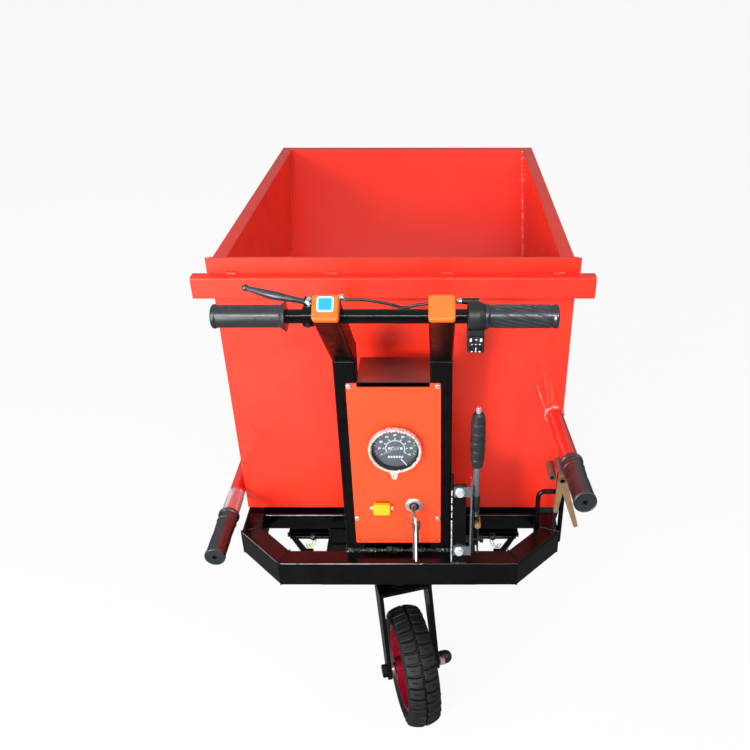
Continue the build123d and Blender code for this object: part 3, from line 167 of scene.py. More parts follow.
def mottled(name, low, high, grain, detail, clumps=0.5, tones=None, haze=None, skin=None, edge=None,
            gloss=None):
    """A finish that wanders between two colours in clouds of some millimetres.

    tones narrows the clouds, haze maps them to roughness, skin is a bump's strength, depth and own grain,
    and edge is the radius that softens the edges."""
    material, tree, place = blank_material(name)
    cloud = add(tree, "ShaderNodeTexNoise",
                {"Vector": place, "Scale": per_mm(grain), "Detail": detail, "Roughness": clumps})
    share = cloud
    if tones:
        share = add(tree, "ShaderNodeMapRange", {0: cloud.outputs[0], 1: tones[0], 2: tones[1]})
    tone = add(tree, "ShaderNodeMix", {0: share.outputs[0], 6: linear(low), 7: linear(high)},
               data_type="RGBA")
    look = {"Base Color": tone.outputs[2], **(gloss or {})}
    if haze:
        dull = add(tree, "ShaderNodeMapRange", {0: cloud.outputs[0], **dict(enumerate(haze, 1))})
        look["Roughness"] = dull.outputs[0]
    if edge:
        look["Normal"] = add(tree, "ShaderNodeBevel", {"Radius": edge}, samples=4).outputs[0]
    if skin:
        height = cloud
        if len(skin) > 2:
            height = add(tree, "ShaderNodeTexNoise",
                         {"Vector": place, "Scale": per_mm(skin[2]), "Detail": skin[3]})
        bump = {"Strength": skin[0], "Distance": skin[1], "Height": height.outputs[0]}
        if edge:
            bump["Normal"] = look["Normal"]
        look["Normal"] = add(tree, "ShaderNodeBump", bump).outputs[0]
    shader = add(tree, "ShaderNodeBsdfPrincipled", look)
    add(tree, "ShaderNodeOutputMaterial", {"Surface": shader.outputs[0]})
    return material


# Sprayed enamel mirrors what stands round it, with a faint orange-peel ripple, a thin film
# of grey dust and a softened highlight along every edge.
black_enamel = mottled("sprayed_black_enamel", "#040405", "#0C0D0E", 70, 5.0, clumps=0.65, tones=(0.45, 0.75),
                       haze=(0.3, 0.8, 0.10, 0.24), skin=(0.05, 0.0004, 3, 1.0), edge=0.0012,
                       gloss={"Specular IOR Level": 0.28, "Coat Weight": 0.05, "Coat Roughness": 0.03})
dress(black_enamel, "bumper_tubes", "ladder_tubes", "castor_beam", "castor_fork", "side_plates",
      "battery_tray", "handbrake_post", "lock_loop", "handlebar", "lever_clamp", "castor_axle", "brake_rod")


# The uprights: two square tubes, bent at a welded knee, which stand on the bumper and carry the bar.
# They have a second, brushed coat, which is deeper and duller than the spray.
brushed_black = mottled("brushed_black_enamel", "#040405", "#0B0B0C", 25, 5.0, haze=(0.3, 0.7, 0.24, 0.40),
                        edge=0.0012, gloss={"Specular IOR Level": 0.16})
dress(brushed_black, "uprights")


# The tipping bucket: folded and welded 3 mm sheet with a turned rim, a rear band and a box strip,
# sprayed in gloss red enamel over everything, weld beads included.
# The enamel is clean and bright, mirrors softly, and the sheet under it is a little wavy.
red_enamel, tree, place = blank_material("sprayed_red_enamel")
cloud = add(tree, "ShaderNodeTexNoise", {"Vector": place, "Scale": per_mm(260), "Detail": 2.0})
tone = add(tree, "ShaderNodeMix", {0: cloud.outputs[0], 6: linear("#F01E12"), 7: linear("#FC3A1E")},
           data_type="RGBA")
film = add(tree, "ShaderNodeTexNoise",
           {"Vector": place, "Scale": per_mm(45), "Detail": 6.0, "Roughness": 0.7})
haze = add(tree, "ShaderNodeMapRange", {0: film.outputs[0], 1: 0.3, 2: 0.75, 3: 0.30, 4: 0.46})
peel = add(tree, "ShaderNodeTexNoise", {"Vector": place, "Scale": per_mm(4), "Detail": 1.0})
buckle = add(tree, "ShaderNodeTexNoise", {"Vector": place, "Scale": per_mm(220), "Detail": 1.0})
edge = add(tree, "ShaderNodeBevel", {"Radius": 0.0015}, samples=4)
waves = add(tree, "ShaderNodeBump", {"Strength": 0.2, "Distance": 0.004, "Height": buckle.outputs[0],
                                     "Normal": edge.outputs[0]})
ripple = add(tree, "ShaderNodeBump", {"Strength": 0.03, "Distance": 0.0004, "Height": peel.outputs[0],
                                      "Normal": waves.outputs[0]})
shader = add(tree, "ShaderNodeBsdfPrincipled", {
    "Base Color": tone.outputs[2], "Roughness": haze.outputs[0], "Normal": ripple.outputs[0],
    "Specular IOR Level": 0.4, "Coat Weight": 0.25, "Coat Roughness": 0.06,
})
add(tree, "ShaderNodeOutputMaterial", {"Surface": shader.outputs[0]})
dress(red_enamel, "bucket_floor", "bucket_front_panel", "bucket_rear_panel", "bucket_rim", "bucket_sides",
      "rear_stiffeners", "hinge_lugs")


# The lifting handles: drawn tube welded to the bucket, the right one to its rear panel and the left one
# to its side. They are in the same red, but dipped, so it is deeper and mirrors more sharply.
dipped_red = mottled("dipped_red_enamel", "#D5140E", "#F0281A", 60, 3.0, haze=(0.3, 0.7, 0.10, 0.20),
                     gloss={"Specular IOR Level": 0.7, "Coat Weight": 0.5, "Coat Roughness": 0.05})
dress(dipped_red, "bucket_handles")


# The bucket's grips and the bar's grips: dipped and moulded PVC, black and shiny.
# It shows a bright streak along its length and dull patches where hands have been.
black_vinyl = mottled("moulded_black_pvc", "#0F1317", "#1F262E", 25, 4.0, haze=(0.3, 0.7, 0.24, 0.40),
                      skin=(0.12, 0.0003, 1.2, 1.0),
                      gloss={"Specular IOR Level": 0.75, "Coat Weight": 0.5, "Coat Roughness": 0.28})
dress(black_vinyl, "bucket_grips", "grip_left", "throttle_grip", "bucket_pads")


# The handbrake's grip: moulded rubber pushed over the lever's stem.
# It is greyer and duller than the other grips.
grey_rubber = mottled("moulded_grey_rubber", "#17191B", "#2B2E31", 16, 5.0, skin=(0.2, 0.0003),
                      gloss={"Roughness": 0.33})
dress(grey_rubber, "handbrake_grip")


# Bright parts: screws, wheel nuts, the key and its lock, the handbrake's lever and button.
# Zinc plate is a pale blue-white metal, dulled in fine clouds and scratched by the spanner.
bright_zinc, tree, place = blank_material("bright_zinc_plate")
cloud = add(tree, "ShaderNodeTexNoise", {"Vector": place, "Scale": per_mm(14), "Detail": 5.0})
tone = add(tree, "ShaderNodeMix", {0: cloud.outputs[0], 6: linear("#C6CACE"), 7: linear("#F0F2F4")},
           data_type="RGBA")
haze = add(tree, "ShaderNodeMapRange", {0: cloud.outputs[0], 1: 0.3, 2: 0.7, 3: 0.20, 4: 0.38})
lines = add(tree, "ShaderNodeMapping", {"Vector": place, "Scale": (per_mm(1.5), per_mm(1.5), per_mm(20))})
brush = add(tree, "ShaderNodeTexNoise", {"Vector": lines.outputs[0], "Scale": 1.0, "Detail": 3.0})
rub = add(tree, "ShaderNodeBump", {"Strength": 0.08, "Distance": 0.0002, "Height": brush.outputs[0]})
shader = add(tree, "ShaderNodeBsdfPrincipled", {
    "Base Color": tone.outputs[2], "Metallic": 0.75, "Roughness": haze.outputs[0], "Normal": rub.outputs[0],
})
add(tree, "ShaderNodeOutputMaterial", {"Surface": shader.outputs[0]})
dress(bright_zinc, "panel_screws", "handbrake_lever", "ignition_key", "key_switch",
      "wheel_nuts", "handbrake_button")


# The handbrake's bolts: the same plate on the two outer bolts, while the pivot pin beside them has run
# in oil, which has left it brown-black and dull.
bolt_zinc, tree, place = blank_material("plated_and_oiled_bolts")
across = add(tree, "ShaderNodeSeparateXYZ", {"Vector": place})
oiled = add(tree, "ShaderNodeMapRange", {0: across.outputs["X"], 1: 0.1320, 2: 0.1330})
cloud = add(tree, "ShaderNodeTexNoise", {"Vector": place, "Scale": per_mm(9), "Detail": 4.0})
plate = add(tree, "ShaderNodeMix", {0: cloud.outputs[0], 6: linear("#D2D6DA"), 7: linear("#F4F6F8")},
            data_type="RGBA")
tone = add(tree, "ShaderNodeMix", {0: oiled.outputs[0], 6: plate.outputs[2], 7: linear("#1A1513")},
           data_type="RGBA")
shine = add(tree, "ShaderNodeMapRange", {0: oiled.outputs[0], 3: 0.6, 4: 0.1})
shader = add(tree, "ShaderNodeBsdfPrincipled", {
    "Base Color": tone.outputs[2], "Metallic": shine.outputs[0], "Roughness": 0.34,
})
add(tree, "ShaderNodeOutputMaterial", {"Surface": shader.outputs[0]})
dress(bolt_zinc, "handbrake_bolts")


# The handbrake's bracket: cold-rolled steel strip with two ears, bolted to the angle post.
# Its plate is thin, so it is blue-grey and duller than the bolts.
rolled_steel = mottled("plated_rolled_strip", "#86909A", "#C6CED6", 10, 5.0, haze=(0.3, 0.7, 0.24, 0.42),
                       gloss={"Metallic": 0.9})
dress(rolled_steel, "handbrake_bracket")


# The latch's sleeves: bare drawn tube, browned by the heat of its welds.
# The spare key and its ring are as brown.
browned_tube = mottled("heat_browned_tube", "#4E423E", "#94867E", 8, 4.0,
                       gloss={"Metallic": 0.6, "Roughness": 0.36})
dress(browned_tube, "latch_mount", "key_ring")


# The latch fork: flat bar cut to two legs, which swings on the bolt in the latch's sleeve.
# It is plated in yellow zinc, which is tan and half dull.
yellow_zinc = mottled("yellow_zinc_plate", "#866649", "#BE9C78", 18, 3.0, haze=(0.0, 1.0, 0.36, 0.55),
                      gloss={"Metallic": 0.6})
dress(yellow_zinc, "latch_fork")


# The drive axle's housing and the bucket's hinge pin: a cast case and a turned bar in the side plates.
# Both are bare steel left oily and dark, with a rough cast skin.
oiled_steel = mottled("oiled_cast_steel", "#1C1C1D", "#48484A", 5, 6.0, haze=(0.0, 1.0, 0.35, 0.6),
                      skin=(0.3, 0.0008), gloss={"Metallic": 0.7})
dress(oiled_steel, "hinge_pin", "axle_housing")


# The motor on the drive axle and the controller in the console: closed die-cast aluminium cases.
# The alloy is pale grey with a sandy skin.
cast_alloy = mottled("die_cast_aluminium", "#8E9092", "#C3C5C7", 2, 4.0, skin=(0.25, 0.0004),
                     gloss={"Metallic": 0.9, "Roughness": 0.48})
dress(cast_alloy, "drive_motor", "motor_controller")


# The tyres: vulcanised rubber with a block tread, on the castor and the two drive wheels.
# The rubber is black and dull, with grey clouds and a fine moulded grain.
tyre_rubber = mottled("vulcanised_tyre_rubber", "#08090A", "#1E2022", 22, 6.0, skin=(0.2, 0.0004, 1.5, 2.0),
                      clumps=0.7, gloss={"Roughness": 0.58, "Specular IOR Level": 0.3})
dress(tyre_rubber, "castor_tyre", "drive_tyre_left", "drive_tyre_right")


# The wheel rims: pressed steel discs with a hub in the middle, which the tyres are fitted on.
# They are in dark crimson enamel, shiny and a little uneven.
crimson_enamel = mottled("sprayed_crimson_enamel", "#680818", "#941028", 40, 4.0, haze=(0.0, 1.0, 0.16, 0.34),
                         gloss={"Coat Weight": 0.3, "Coat Roughness": 0.05})
dress(crimson_enamel, "castor_rim", "drive_rim_left", "drive_rim_right")


# The battery: a closed, moulded ABS case, which stands in the tray under the rails.
# It is charcoal, with a fine spark-eroded grain.
battery_case = mottled("grained_abs", "#2A2C31", "#3E4148", 1.5, 3.0, skin=(0.3, 0.0003),
                       gloss={"Roughness": 0.55})
dress(battery_case, "battery_pack")


# The console's box: folded sheet in thick black lacquer under a clear coat, so its top mirrors
# the red bucket. The lacquer is dusty in clouds.
black_lacquer = mottled("clear_coated_black_lacquer", "#0A0808", "#241A1A", 30, 6.0,
                        haze=(0.3, 0.7, 0.10, 0.26), clumps=0.7,
                        gloss={"Specular IOR Level": 0.8, "Coat Weight": 0.8, "Coat Roughness": 0.06,
                               "Coat IOR": 1.8})
dress(black_lacquer, "console_box")


# The console's panel: 2 mm sheet in satin orange powder coat, screwed over the box.
# The powder has flowed smooth, so it is even, with a soft sheen.
orange_powder = mottled("orange_powder_coat", "#F03A0E", "#F9471A", 120, 2.0, skin=(0.06, 0.0004, 2.5, 1.0),
                        gloss={"Roughness": 0.42, "Specular IOR Level": 0.4})
dress(orange_powder, "console_panel")


# The plugs in the tops of the uprights: moulded polyethylene caps, each pushed into its tube by a spigot.
# They are orange, waxy and slightly see-through.
orange_plug = mottled("moulded_orange_polyethylene", "#EE5E18", "#F5722A", 12, 2.0, edge=0.002,
                      gloss={"Roughness": 0.38, "Subsurface Weight": 0.08,
                             "Subsurface Radius": (0.004, 0.0015, 0.0005), "Subsurface Scale": 1.0})
dress(orange_plug, "upright_plugs")


# The throttle housing, its switches, the gauge's case and the cables: moulded black nylon.
# It is dark grey-black with a fine matt grain.
black_nylon = mottled("moulded_black_nylon", "#141415", "#232325", 1, 2.0, skin=(0.2, 0.0002),
                      gloss={"Roughness": 0.4})
dress(black_nylon, "throttle_housing", "direction_rocker", "speed_slider", "speedometer", "control_cables")


# The brake lever: cast alloy, which turns on a screw in the clamp on the bar.
# It is under dark grey lacquer, smooth and half shiny.
grey_lacquer = mottled("grey_lacquered_alloy", "#3A3D42", "#565A61", 15, 3.0,
                       gloss={"Metallic": 0.5, "Roughness": 0.32})
dress(grey_lacquer, "brake_lever")


# The charging socket: moulded nylon with a flap and two ears, screwed to the console's panel.
# It is amber, bright and glossy.
amber_nylon = mottled("moulded_amber_nylon", "#F59A00", "#FFB411", 8, 2.0, gloss={"Roughness": 0.3})
dress(amber_nylon, "charge_socket")


# The gauge's lens: a clear acrylic disc held in the case.
# It shows the dial, and mirrors the room equally weakly from every side.
clear_acrylic, tree, place = blank_material("clear_acrylic")
clear = add(tree, "ShaderNodeBsdfTransparent", {"Color": linear("#F6F8F8")})
gloss = add(tree, "ShaderNodeBsdfGlossy", {"Roughness": 0.04})
mirror_share = 0.06
lens = add(tree, "ShaderNodeMixShader", {0: mirror_share, 1: clear.outputs[0], 2: gloss.outputs[0]})
add(tree, "ShaderNodeOutputMaterial", {"Surface": lens.outputs[0]})
dress(clear_acrylic, "speedometer_glass")


# The gauge's pointer: a strip of thin tin that turns over the dial.
# It is in a grey enamel that hardly stands out from the card.
grey_enamel = mottled("grey_enamelled_tin", "#7C828A", "#9AA0A8", 6, 2.0, gloss={"Roughness": 0.4})
dress(grey_enamel, "speedometer_needle")


# The welds that hold the bucket and the frame: MIG runs sprayed over with the enamel of what they join.
# Each is a row of overlapping drops fused into one ripple and roughened a little.
def fix_place():
    """Puts the place, turn and scale of the piece in hand into its mesh."""
    bpy.ops.object.transform_apply(location=True, rotation=True, scale=True)


def open_mesh():
    """Opens the piece in hand for editing, with all of it selected."""
    bpy.ops.object.mode_set(mode="EDIT")
    bpy.ops.mesh.select_all(action="SELECT")


def settle(piece, body, slot, *materials):
    """Fixes a finished piece to the body that carries it, with its material; slot is not used."""
    deselect()
    piece.select_set(True)
    bpy.context.view_layer.objects.active = piece
    fix_place()
    if materials:
        piece.data.materials.clear()
        piece.data.materials.append(materials[0])
    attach(piece, body)


def join(name, pieces):
    """Makes one named piece of several."""
    deselect()
    for piece in pieces:
        piece.select_set(True)
    bpy.context.view_layer.objects.active = pieces[0]
    bpy.ops.object.join()
    made = bpy.context.object
    made.name = name
    return made


def modify(piece, kind, **settings):
    """Adds one modifier and applies it."""
    bpy.context.view_layer.objects.active = piece
    made = piece.modifiers.new(kind.lower(), kind)
    for name, value in settings.items():
        setattr(made, name, value)
    bpy.ops.object.modifier_apply(modifier=made.name)


def roughen(piece, amount, seed):
    """Moves every vertex a little, the same way each run."""
    bpy.context.view_layer.objects.active = piece
    open_mesh()
    bpy.ops.transform.vertex_random(offset=amount, uniform=1, seed=seed)
    bpy.ops.object.mode_set(mode="OBJECT")


def weld(start, end, width, pitch):
    """A run of weld from one point to another."""
    start, end = Vector(start), Vector(end)
    count = max(2, round((end - start).length / pitch) + 1)
    deselect()
    bpy.ops.mesh.primitive_ico_sphere_add(subdivisions=2, radius=width / 2, location=start)
    bead = bpy.context.object
    modify(bead, "ARRAY", count=count, use_relative_offset=False, use_constant_offset=True,
           constant_offset_displace=(end - start) / (count - 1))
    modify(bead, "REMESH", mode="VOXEL", voxel_size=width / 6)
    roughen(bead, width / 25, count)
    bpy.ops.object.shade_smooth()
    return bead


# On the right seam, pink blotches in the red enamel paint the ripple's glints as a broken pink line (painted
# highlight).
glint_blotched_enamel = mottled("red_enamel_with_painted_glints", "#F23A2A", "#FF988C", 9, 3.0, tones=(0.42, 0.62),
                      gloss={"Roughness": 0.3})
seam, seam_pitch = 0.0075, 0.006
corner_x = 0.299
corner_low = (0.119, 0.410)
corner_high = (0.506, 0.982)
seams = []
for side in (-1, 1):
    seams.append(weld((side * corner_x, *corner_low), (side * corner_x, *corner_high), seam, seam_pitch))
    roughen(seams[-1], seam / 9, 3 + side)
    seams[-1].data.materials.append(red_enamel if side < 0 else glint_blotched_enamel)
settle(join("bucket_corner_welds", seams), "bucket", "bucket_red")

tack_places = (-0.293, -0.110, 0.096, 0.300)
tack_half, tack_width, tack_pitch = 0.008, 0.009, 0.004
strip_top = 0.956
band_face = -0.221
tack_y = band_face - 0.001
tacks = []
for x in tack_places:
    tacks.append(weld((x - tack_half, tack_y, strip_top), (x + tack_half, tack_y, strip_top),
                      tack_width, tack_pitch))
settle(join("bucket_strip_welds", tacks), "bucket", "bucket_red", red_enamel)

frame_top = 0.396
frame_low = 0.336
mitre_width, mitre_pitch, mitre_sink, mitre_set = 0.004, 0.003, 0.0006, 0.0012
mitres = []
for side in (-1, 1):
    for outer, inner in (((0.240, -0.380), (0.2234, -0.340)), ((0.334, -0.286), (0.294, -0.2694))):
        outer_x, outer_y = side * outer[0], outer[1]
        mitres.append(weld((outer_x, outer_y + 0.003, frame_top - mitre_sink),
                           (side * inner[0], inner[1], frame_top - mitre_sink), mitre_width, mitre_pitch))
        mitres.append(weld((outer_x, outer_y + mitre_set, frame_low + 0.003),
                           (outer_x, outer_y + mitre_set, frame_top - 0.003), mitre_width, mitre_pitch))
settle(join("bumper_mitre_welds", mitres), "chassis", "frame_black", black_enamel)

knee_rear = (-0.340, 0.8387)
knee_front = (-0.300, 0.8553)
upright_edges = (0.068, 0.104)
knee_width, knee_pitch = 0.005, 0.004
knees = []
for side in (-1, 1):
    for y, z in (knee_rear, knee_front):
        knees.append(weld((side * upright_edges[0], y, z), (side * upright_edges[1], y, z),
                          knee_width, knee_pitch))
settle(join("upright_knee_welds", knees), "chassis", "frame_black", black_enamel)

# Where the uprights stand on the bumper the run was left bare: rough grey metal with bright spatter.
bare_weld, tree, place = blank_material("bare_weld_steel")
slag = add(tree, "ShaderNodeTexNoise", {"Vector": place, "Scale": per_mm(4), "Detail": 4.0, "Roughness": 0.7})
shown = add(tree, "ShaderNodeMapRange", {0: slag.outputs[0], 1: 0.57, 2: 0.68})
tone = add(tree, "ShaderNodeMix", {0: shown.outputs[0], 6: linear("#0C0C0D"), 7: linear("#D6DADD")},
           data_type="RGBA")
dull = add(tree, "ShaderNodeMapRange", {0: shown.outputs[0], 3: 0.3, 4: 0.22})
shader = add(tree, "ShaderNodeBsdfPrincipled", {
    "Base Color": tone.outputs[2], "Metallic": shown.outputs[0], "Roughness": dull.outputs[0],
})
add(tree, "ShaderNodeOutputMaterial", {"Surface": shader.outputs[0]})
upright_face = -0.3405
foot_x, foot_width, foot_pitch = 0.1065, 0.006, 0.005
blob_length, blob_pitch = 0.024, 0.006
feet = []
spatter = ((-0.104, 0.012, 0.0), (-0.071, 0.010, 0.002), (-0.046, 0.007, 0.001), (-0.020, 0.012, 0.003),
           (0.008, 0.006, 0.0), (0.028, 0.011, 0.002), (0.052, 0.008, 0.001), (0.080, 0.012, 0.001))
for start, width, rise in spatter:
    blob = weld((start, upright_face, frame_top + rise), (start + blob_length, upright_face, frame_top),
                width, blob_pitch)
    roughen(blob, width / 7, round(1000 * width))
    feet.append(blob)
for side in (-1, 1):
    feet.append(weld((side * foot_x, -0.338, frame_top), (side * foot_x, -0.302, frame_top),
                     foot_width, foot_pitch))
feet.append(weld((0.108, -0.377, frame_top), (0.134, -0.377, frame_top), foot_width, foot_pitch))
settle(join("upright_foot_welds", feet), "chassis", "zinc", bare_weld)

# Down one edge of the handbrake's post runs a bead of bright zinc, broken up near the top, which paints the
# edge's highlight.
post_edge = (0.1066, -0.376)
post_width, post_pitch = 0.0035, 0.003
runs = [weld((*post_edge, 0.400), (*post_edge, 0.505), post_width, post_pitch)]
for low in (0.515, 0.533, 0.551, 0.569):
    runs.append(weld((*post_edge, low), (*post_edge, low + 0.010), post_width, post_pitch))
settle(join("post_edge_painted_highlight", runs), "chassis", "zinc", bright_zinc)


# The bar's left end: a moulded grip with five rows of pimples, and the brake lever on its clamp.
# The lever is lacquered alloy, thin at the neck, broad in the middle, with a ball at its tip.
bar = Vector((0, -0.46213, 0.98913))
grip_radius = 0.0175
pimple_radius = 0.0011
pimple_start, pimple_pitch, pimple_stagger = -0.242, 0.0172, 0.0088
pimples = []
for row, turn in enumerate((40, 62, 84, 106, 128)):
    for column in range(5):
        angle = math.radians(turn)
        x = pimple_start + pimple_pitch * column + pimple_stagger * (row % 2)
        spot = bar + Vector((x, -math.cos(angle) * grip_radius, math.sin(angle) * grip_radius))
        deselect()
        bpy.ops.mesh.primitive_ico_sphere_add(subdivisions=2, radius=pimple_radius, location=spot)
        bpy.ops.object.shade_smooth()
        pimples.append(bpy.context.object)
settle(join("grip_pimples", pimples), "chassis", "rubber_black", black_vinyl)

# The grip's inner end flares into a thin trumpet-shaped lip that keeps the thumb off the clamp,
# with a flat where the lever comes in. The lever lies in a plane that is tilted up from the bar.
lever_tilt = math.radians(25)
to_lever = Vector((0, math.cos(lever_tilt), math.sin(lever_tilt)))
lip_neck, lip_flare, lip_depth, lip_x, lip_flat = 0.0178, 0.0240, 0.0085, -0.1553, 0.0185
deselect()
bpy.ops.mesh.primitive_cone_add(vertices=40, radius1=lip_neck, radius2=lip_flare, depth=lip_depth,
                                location=bar + Vector((lip_x, 0, 0)), rotation=(0, math.pi / 2, 0))
lip = bpy.context.object
fix_place()
open_mesh()
bpy.ops.mesh.bisect(plane_co=bar + lip_flat * to_lever, plane_no=to_lever, clear_outer=True, use_fill=True)
bpy.ops.object.mode_set(mode="OBJECT")
modify(lip, "BEVEL", width=0.0011, segments=3, limit_method="ANGLE", angle_limit=math.radians(30))
bpy.ops.object.shade_smooth_by_angle(angle=math.radians(45))
settle(join("grip_lip", [lip]), "chassis", "rubber_black", black_vinyl)

clamp_x = -0.117


def on_lever(x, reach, lift=0.0):
    """A point in the lever's own tilted plane, from the clamp and the bar."""
    return Vector((clamp_x + x, bar.y + reach * math.cos(lever_tilt) - lift * math.sin(lever_tilt),
                   bar.z + reach * math.sin(lever_tilt) + lift * math.cos(lever_tilt)))


def spline(name, points, radius, shares=None):
    """A round rod along a smooth curve steered by the points; shares swells it at each of them."""
    curve = bpy.data.curves.new(name, "CURVE")
    curve.dimensions = "3D"
    curve.bevel_depth = radius
    curve.bevel_resolution = 5
    curve.use_fill_caps = True
    line = curve.splines.new("NURBS")
    line.points.add(len(points) - 1)
    for point, place, share in zip(line.points, points, shares or [1] * len(points)):
        point.co = (*place, 1)
        point.radius = share
    line.order_u = 3
    line.use_endpoint_u = True
    line.resolution_u = 8
    made = bpy.data.objects.new(name, curve)
    bpy.context.collection.objects.link(made)
    return made


def solid(piece):
    """Turns a curve or a text into a mesh."""
    deselect()
    piece.select_set(True)
    bpy.context.view_layer.objects.active = piece
    bpy.ops.object.convert(target="MESH")
    return bpy.context.object


def rod(start, end, radius, sides=24):
    """A round bar from one point to another."""
    start, end = Vector(start), Vector(end)
    deselect()
    bpy.ops.mesh.primitive_cylinder_add(vertices=sides, radius=radius, depth=(end - start).length,
                                        location=(start + end) / 2)
    made = bpy.context.object
    made.rotation_euler = (end - start).to_track_quat("Z", "Y").to_euler()
    fix_place()
    modify(made, "BEVEL", width=radius * 0.18, segments=2, limit_method="ANGLE", angle_limit=math.radians(40))
    bpy.ops.object.shade_smooth_by_angle(angle=math.radians(40))
    return made


def ball(place, radius, scale=(1, 1, 1)):
    """A round or squashed knob."""
    deselect()
    bpy.ops.mesh.primitive_uv_sphere_add(segments=20, ring_count=12, radius=radius, location=place,
                                         scale=scale)
    bpy.ops.object.shade_smooth()
    return bpy.context.object


blade_line = [on_lever(0, 0.025), on_lever(-0.012, 0.030), on_lever(-0.026, 0.0335), on_lever(-0.058, 0.041),
              on_lever(-0.082, 0.049), on_lever(-0.104, 0.057)]
blade = solid(spline("brake_blade", blade_line, 0.006, (1.1, 0.8, 0.8, 1.3, 0.95, 0.6)))
blade.data.materials.append(grey_lacquer)
tip = ball(on_lever(-0.104, 0.057), 0.0058)
tip.data.materials.append(grey_lacquer)
blade = join("brake_blade", [blade, tip])
settle(blade, "brake_lever", "gunmetal")
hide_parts("brake_lever")

pivot_head = rod(on_lever(0, 0.025, 0.0085), on_lever(0, 0.025, 0.0125), 0.0048, 6)
clamp_screw = rod(on_lever(0.001, -0.0150), on_lever(0.001, -0.0195), 0.0042)
stop_screw = rod(on_lever(0.003, 0.013, 0.0105), on_lever(-0.004, 0.018, 0.0155), 0.0034)
for screw, finish in ((pivot_head, bright_zinc), (clamp_screw, oiled_steel), (stop_screw, bright_zinc)):
    screw.data.materials.append(finish)
settle(join("lever_clamp_screws", [pivot_head, clamp_screw, stop_screw]), "chassis", "zinc")

# The brake cable's adjuster: a black barrel screwed into the clamp, with a bright end.
barrel_start = on_lever(0.007, 0.025)
barrel_end = Vector((-0.0665, -0.4400, 1.0100))
barrel = rod(barrel_start, barrel_end, 0.0042)
barrel.data.materials.append(black_nylon)
barrel_way = barrel_end - barrel_start
collar = rod(barrel_end - barrel_way * 0.12, barrel_end + barrel_way * 0.06, 0.0056)
collar.data.materials.append(bright_zinc)
settle(join("cable_adjuster", [barrel, collar]), "chassis", "zinc")


# The throttle housing's small parts: marks in white screen ink on the rocker, the slider and the pod,
# and the bright turned ferrule that holds the cable in the housing.
white_ink = mottled("white_screen_ink", "#D9DBDC", "#F4F5F5", 0.8, 2.0, gloss={"Roughness": 0.5})


def block(place, size, turn=0.0):
    """A plain block to be shaped, turned as the operator sees it."""
    deselect()
    bpy.ops.mesh.primitive_cube_add(size=1, location=place, rotation=(0, turn, 0), scale=size)
    fix_place()
    return bpy.context.object


def mark(x, y, z, width, height, turn=0.0):
    """A thin printed bar that faces the operator."""
    return block((x, y, z), (width, ink_depth, height), turn)


ink_depth = 0.0002
pod_x = 0.1375
rocker_marks = [mark(pod_x + side * 0.0078, -0.4863, 0.961, 0.003, 0.005) for side in (-1, 1)]
rocker_marks.append(mark(pod_x + 0.0004, -0.4852, 0.961, 0.003, 0.0014))
settle(join("rocker_marks", rocker_marks), "direction_rocker", "needle_white", white_ink)
slider_mark = join("slider_mark", [mark(pod_x, -0.4871, 0.946, 0.0012, 0.005)])
settle(slider_mark, "speed_slider", "needle_white", white_ink)
pod_marks = []
for step in (-1, 0, 1):
    pod_marks.append(mark(pod_x + 0.006 * step, -0.4851, 0.9405, 0.0026, 0.0014))
    pod_marks.append(mark(pod_x + 0.006 * step, -0.4851, 0.9528, 0.0024, 0.0012))
settle(join("pod_marks", pod_marks), "chassis", "needle_white", white_ink)
settle(join("throttle_ferrule", [rod((0.1185, -0.44493, 1.00633), (0.1085, -0.44493, 1.00600), 0.0042)]),
       "chassis", "zinc", bright_zinc)


# The control cables: two black sheathed cables that leave the lever and the throttle, cross behind the bar,
# go down the fronts of the uprights and enter the sides of the console.
cable_radius = 0.0025
behind_upright = [
    (0.046, -0.40613, 0.96913), (0.086, -0.36413, 0.92513), (0.086, -0.29100, 0.87000),
    (0.086, -0.29600, 0.80000), (0.086, -0.28000, 0.77500), (0.066, -0.28000, 0.77500),
]
brake_route = [(-0.108, -0.43947, 0.99970), (-0.060, -0.44013, 1.01013), (0.002, -0.43013, 0.99613)]
brake_route += behind_upright
throttle_route = [(0.116, -0.44493, 1.00633), (0.050, -0.44613, 1.00413), (-0.004, -0.44613, 0.98313)]
throttle_route += [(-x, y, z) for x, y, z in behind_upright]
for name, route, length in (("brake_cable", brake_route, 0.42), ("throttle_cable", throttle_route, 0.43)):
    cable = spline(name, route, cable_radius)
    cable.data.materials.append(black_vinyl)
    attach(cable, "chassis")
    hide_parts("control_cables")


# The label on the left plug: printed vinyl with round corners, stuck to the plug's sloping end.
# A pale blue border runs round a plain blue field.
def fine_grained(name, low, high):
    """Smooth, half shiny stuff such as ink, vinyl or PVC, with a faint fine grain."""
    return mottled(name, low, high, 0.7, 2.0, gloss={"Roughness": 0.35})


def patch(name, centre, width, height, lift, round_off):
    """A round-cornered label that lies on the sloping end of the left upright."""
    deselect()
    slope = math.radians(45)
    bpy.ops.mesh.primitive_plane_add(size=1, rotation=(slope, 0, 0),
                                     location=Vector(centre) + Vector((0, -lift, lift)) / math.sqrt(2))
    made = bpy.context.object
    made.scale = (width, height, 1)
    bpy.ops.object.transform_apply(location=False, rotation=False, scale=True)
    open_mesh()
    bpy.ops.mesh.bevel(offset=round_off, segments=4, affect="VERTICES")
    bpy.ops.object.mode_set(mode="OBJECT")
    modify(made, "SOLIDIFY", thickness=0.0003, offset=0)
    made.name = name
    return made


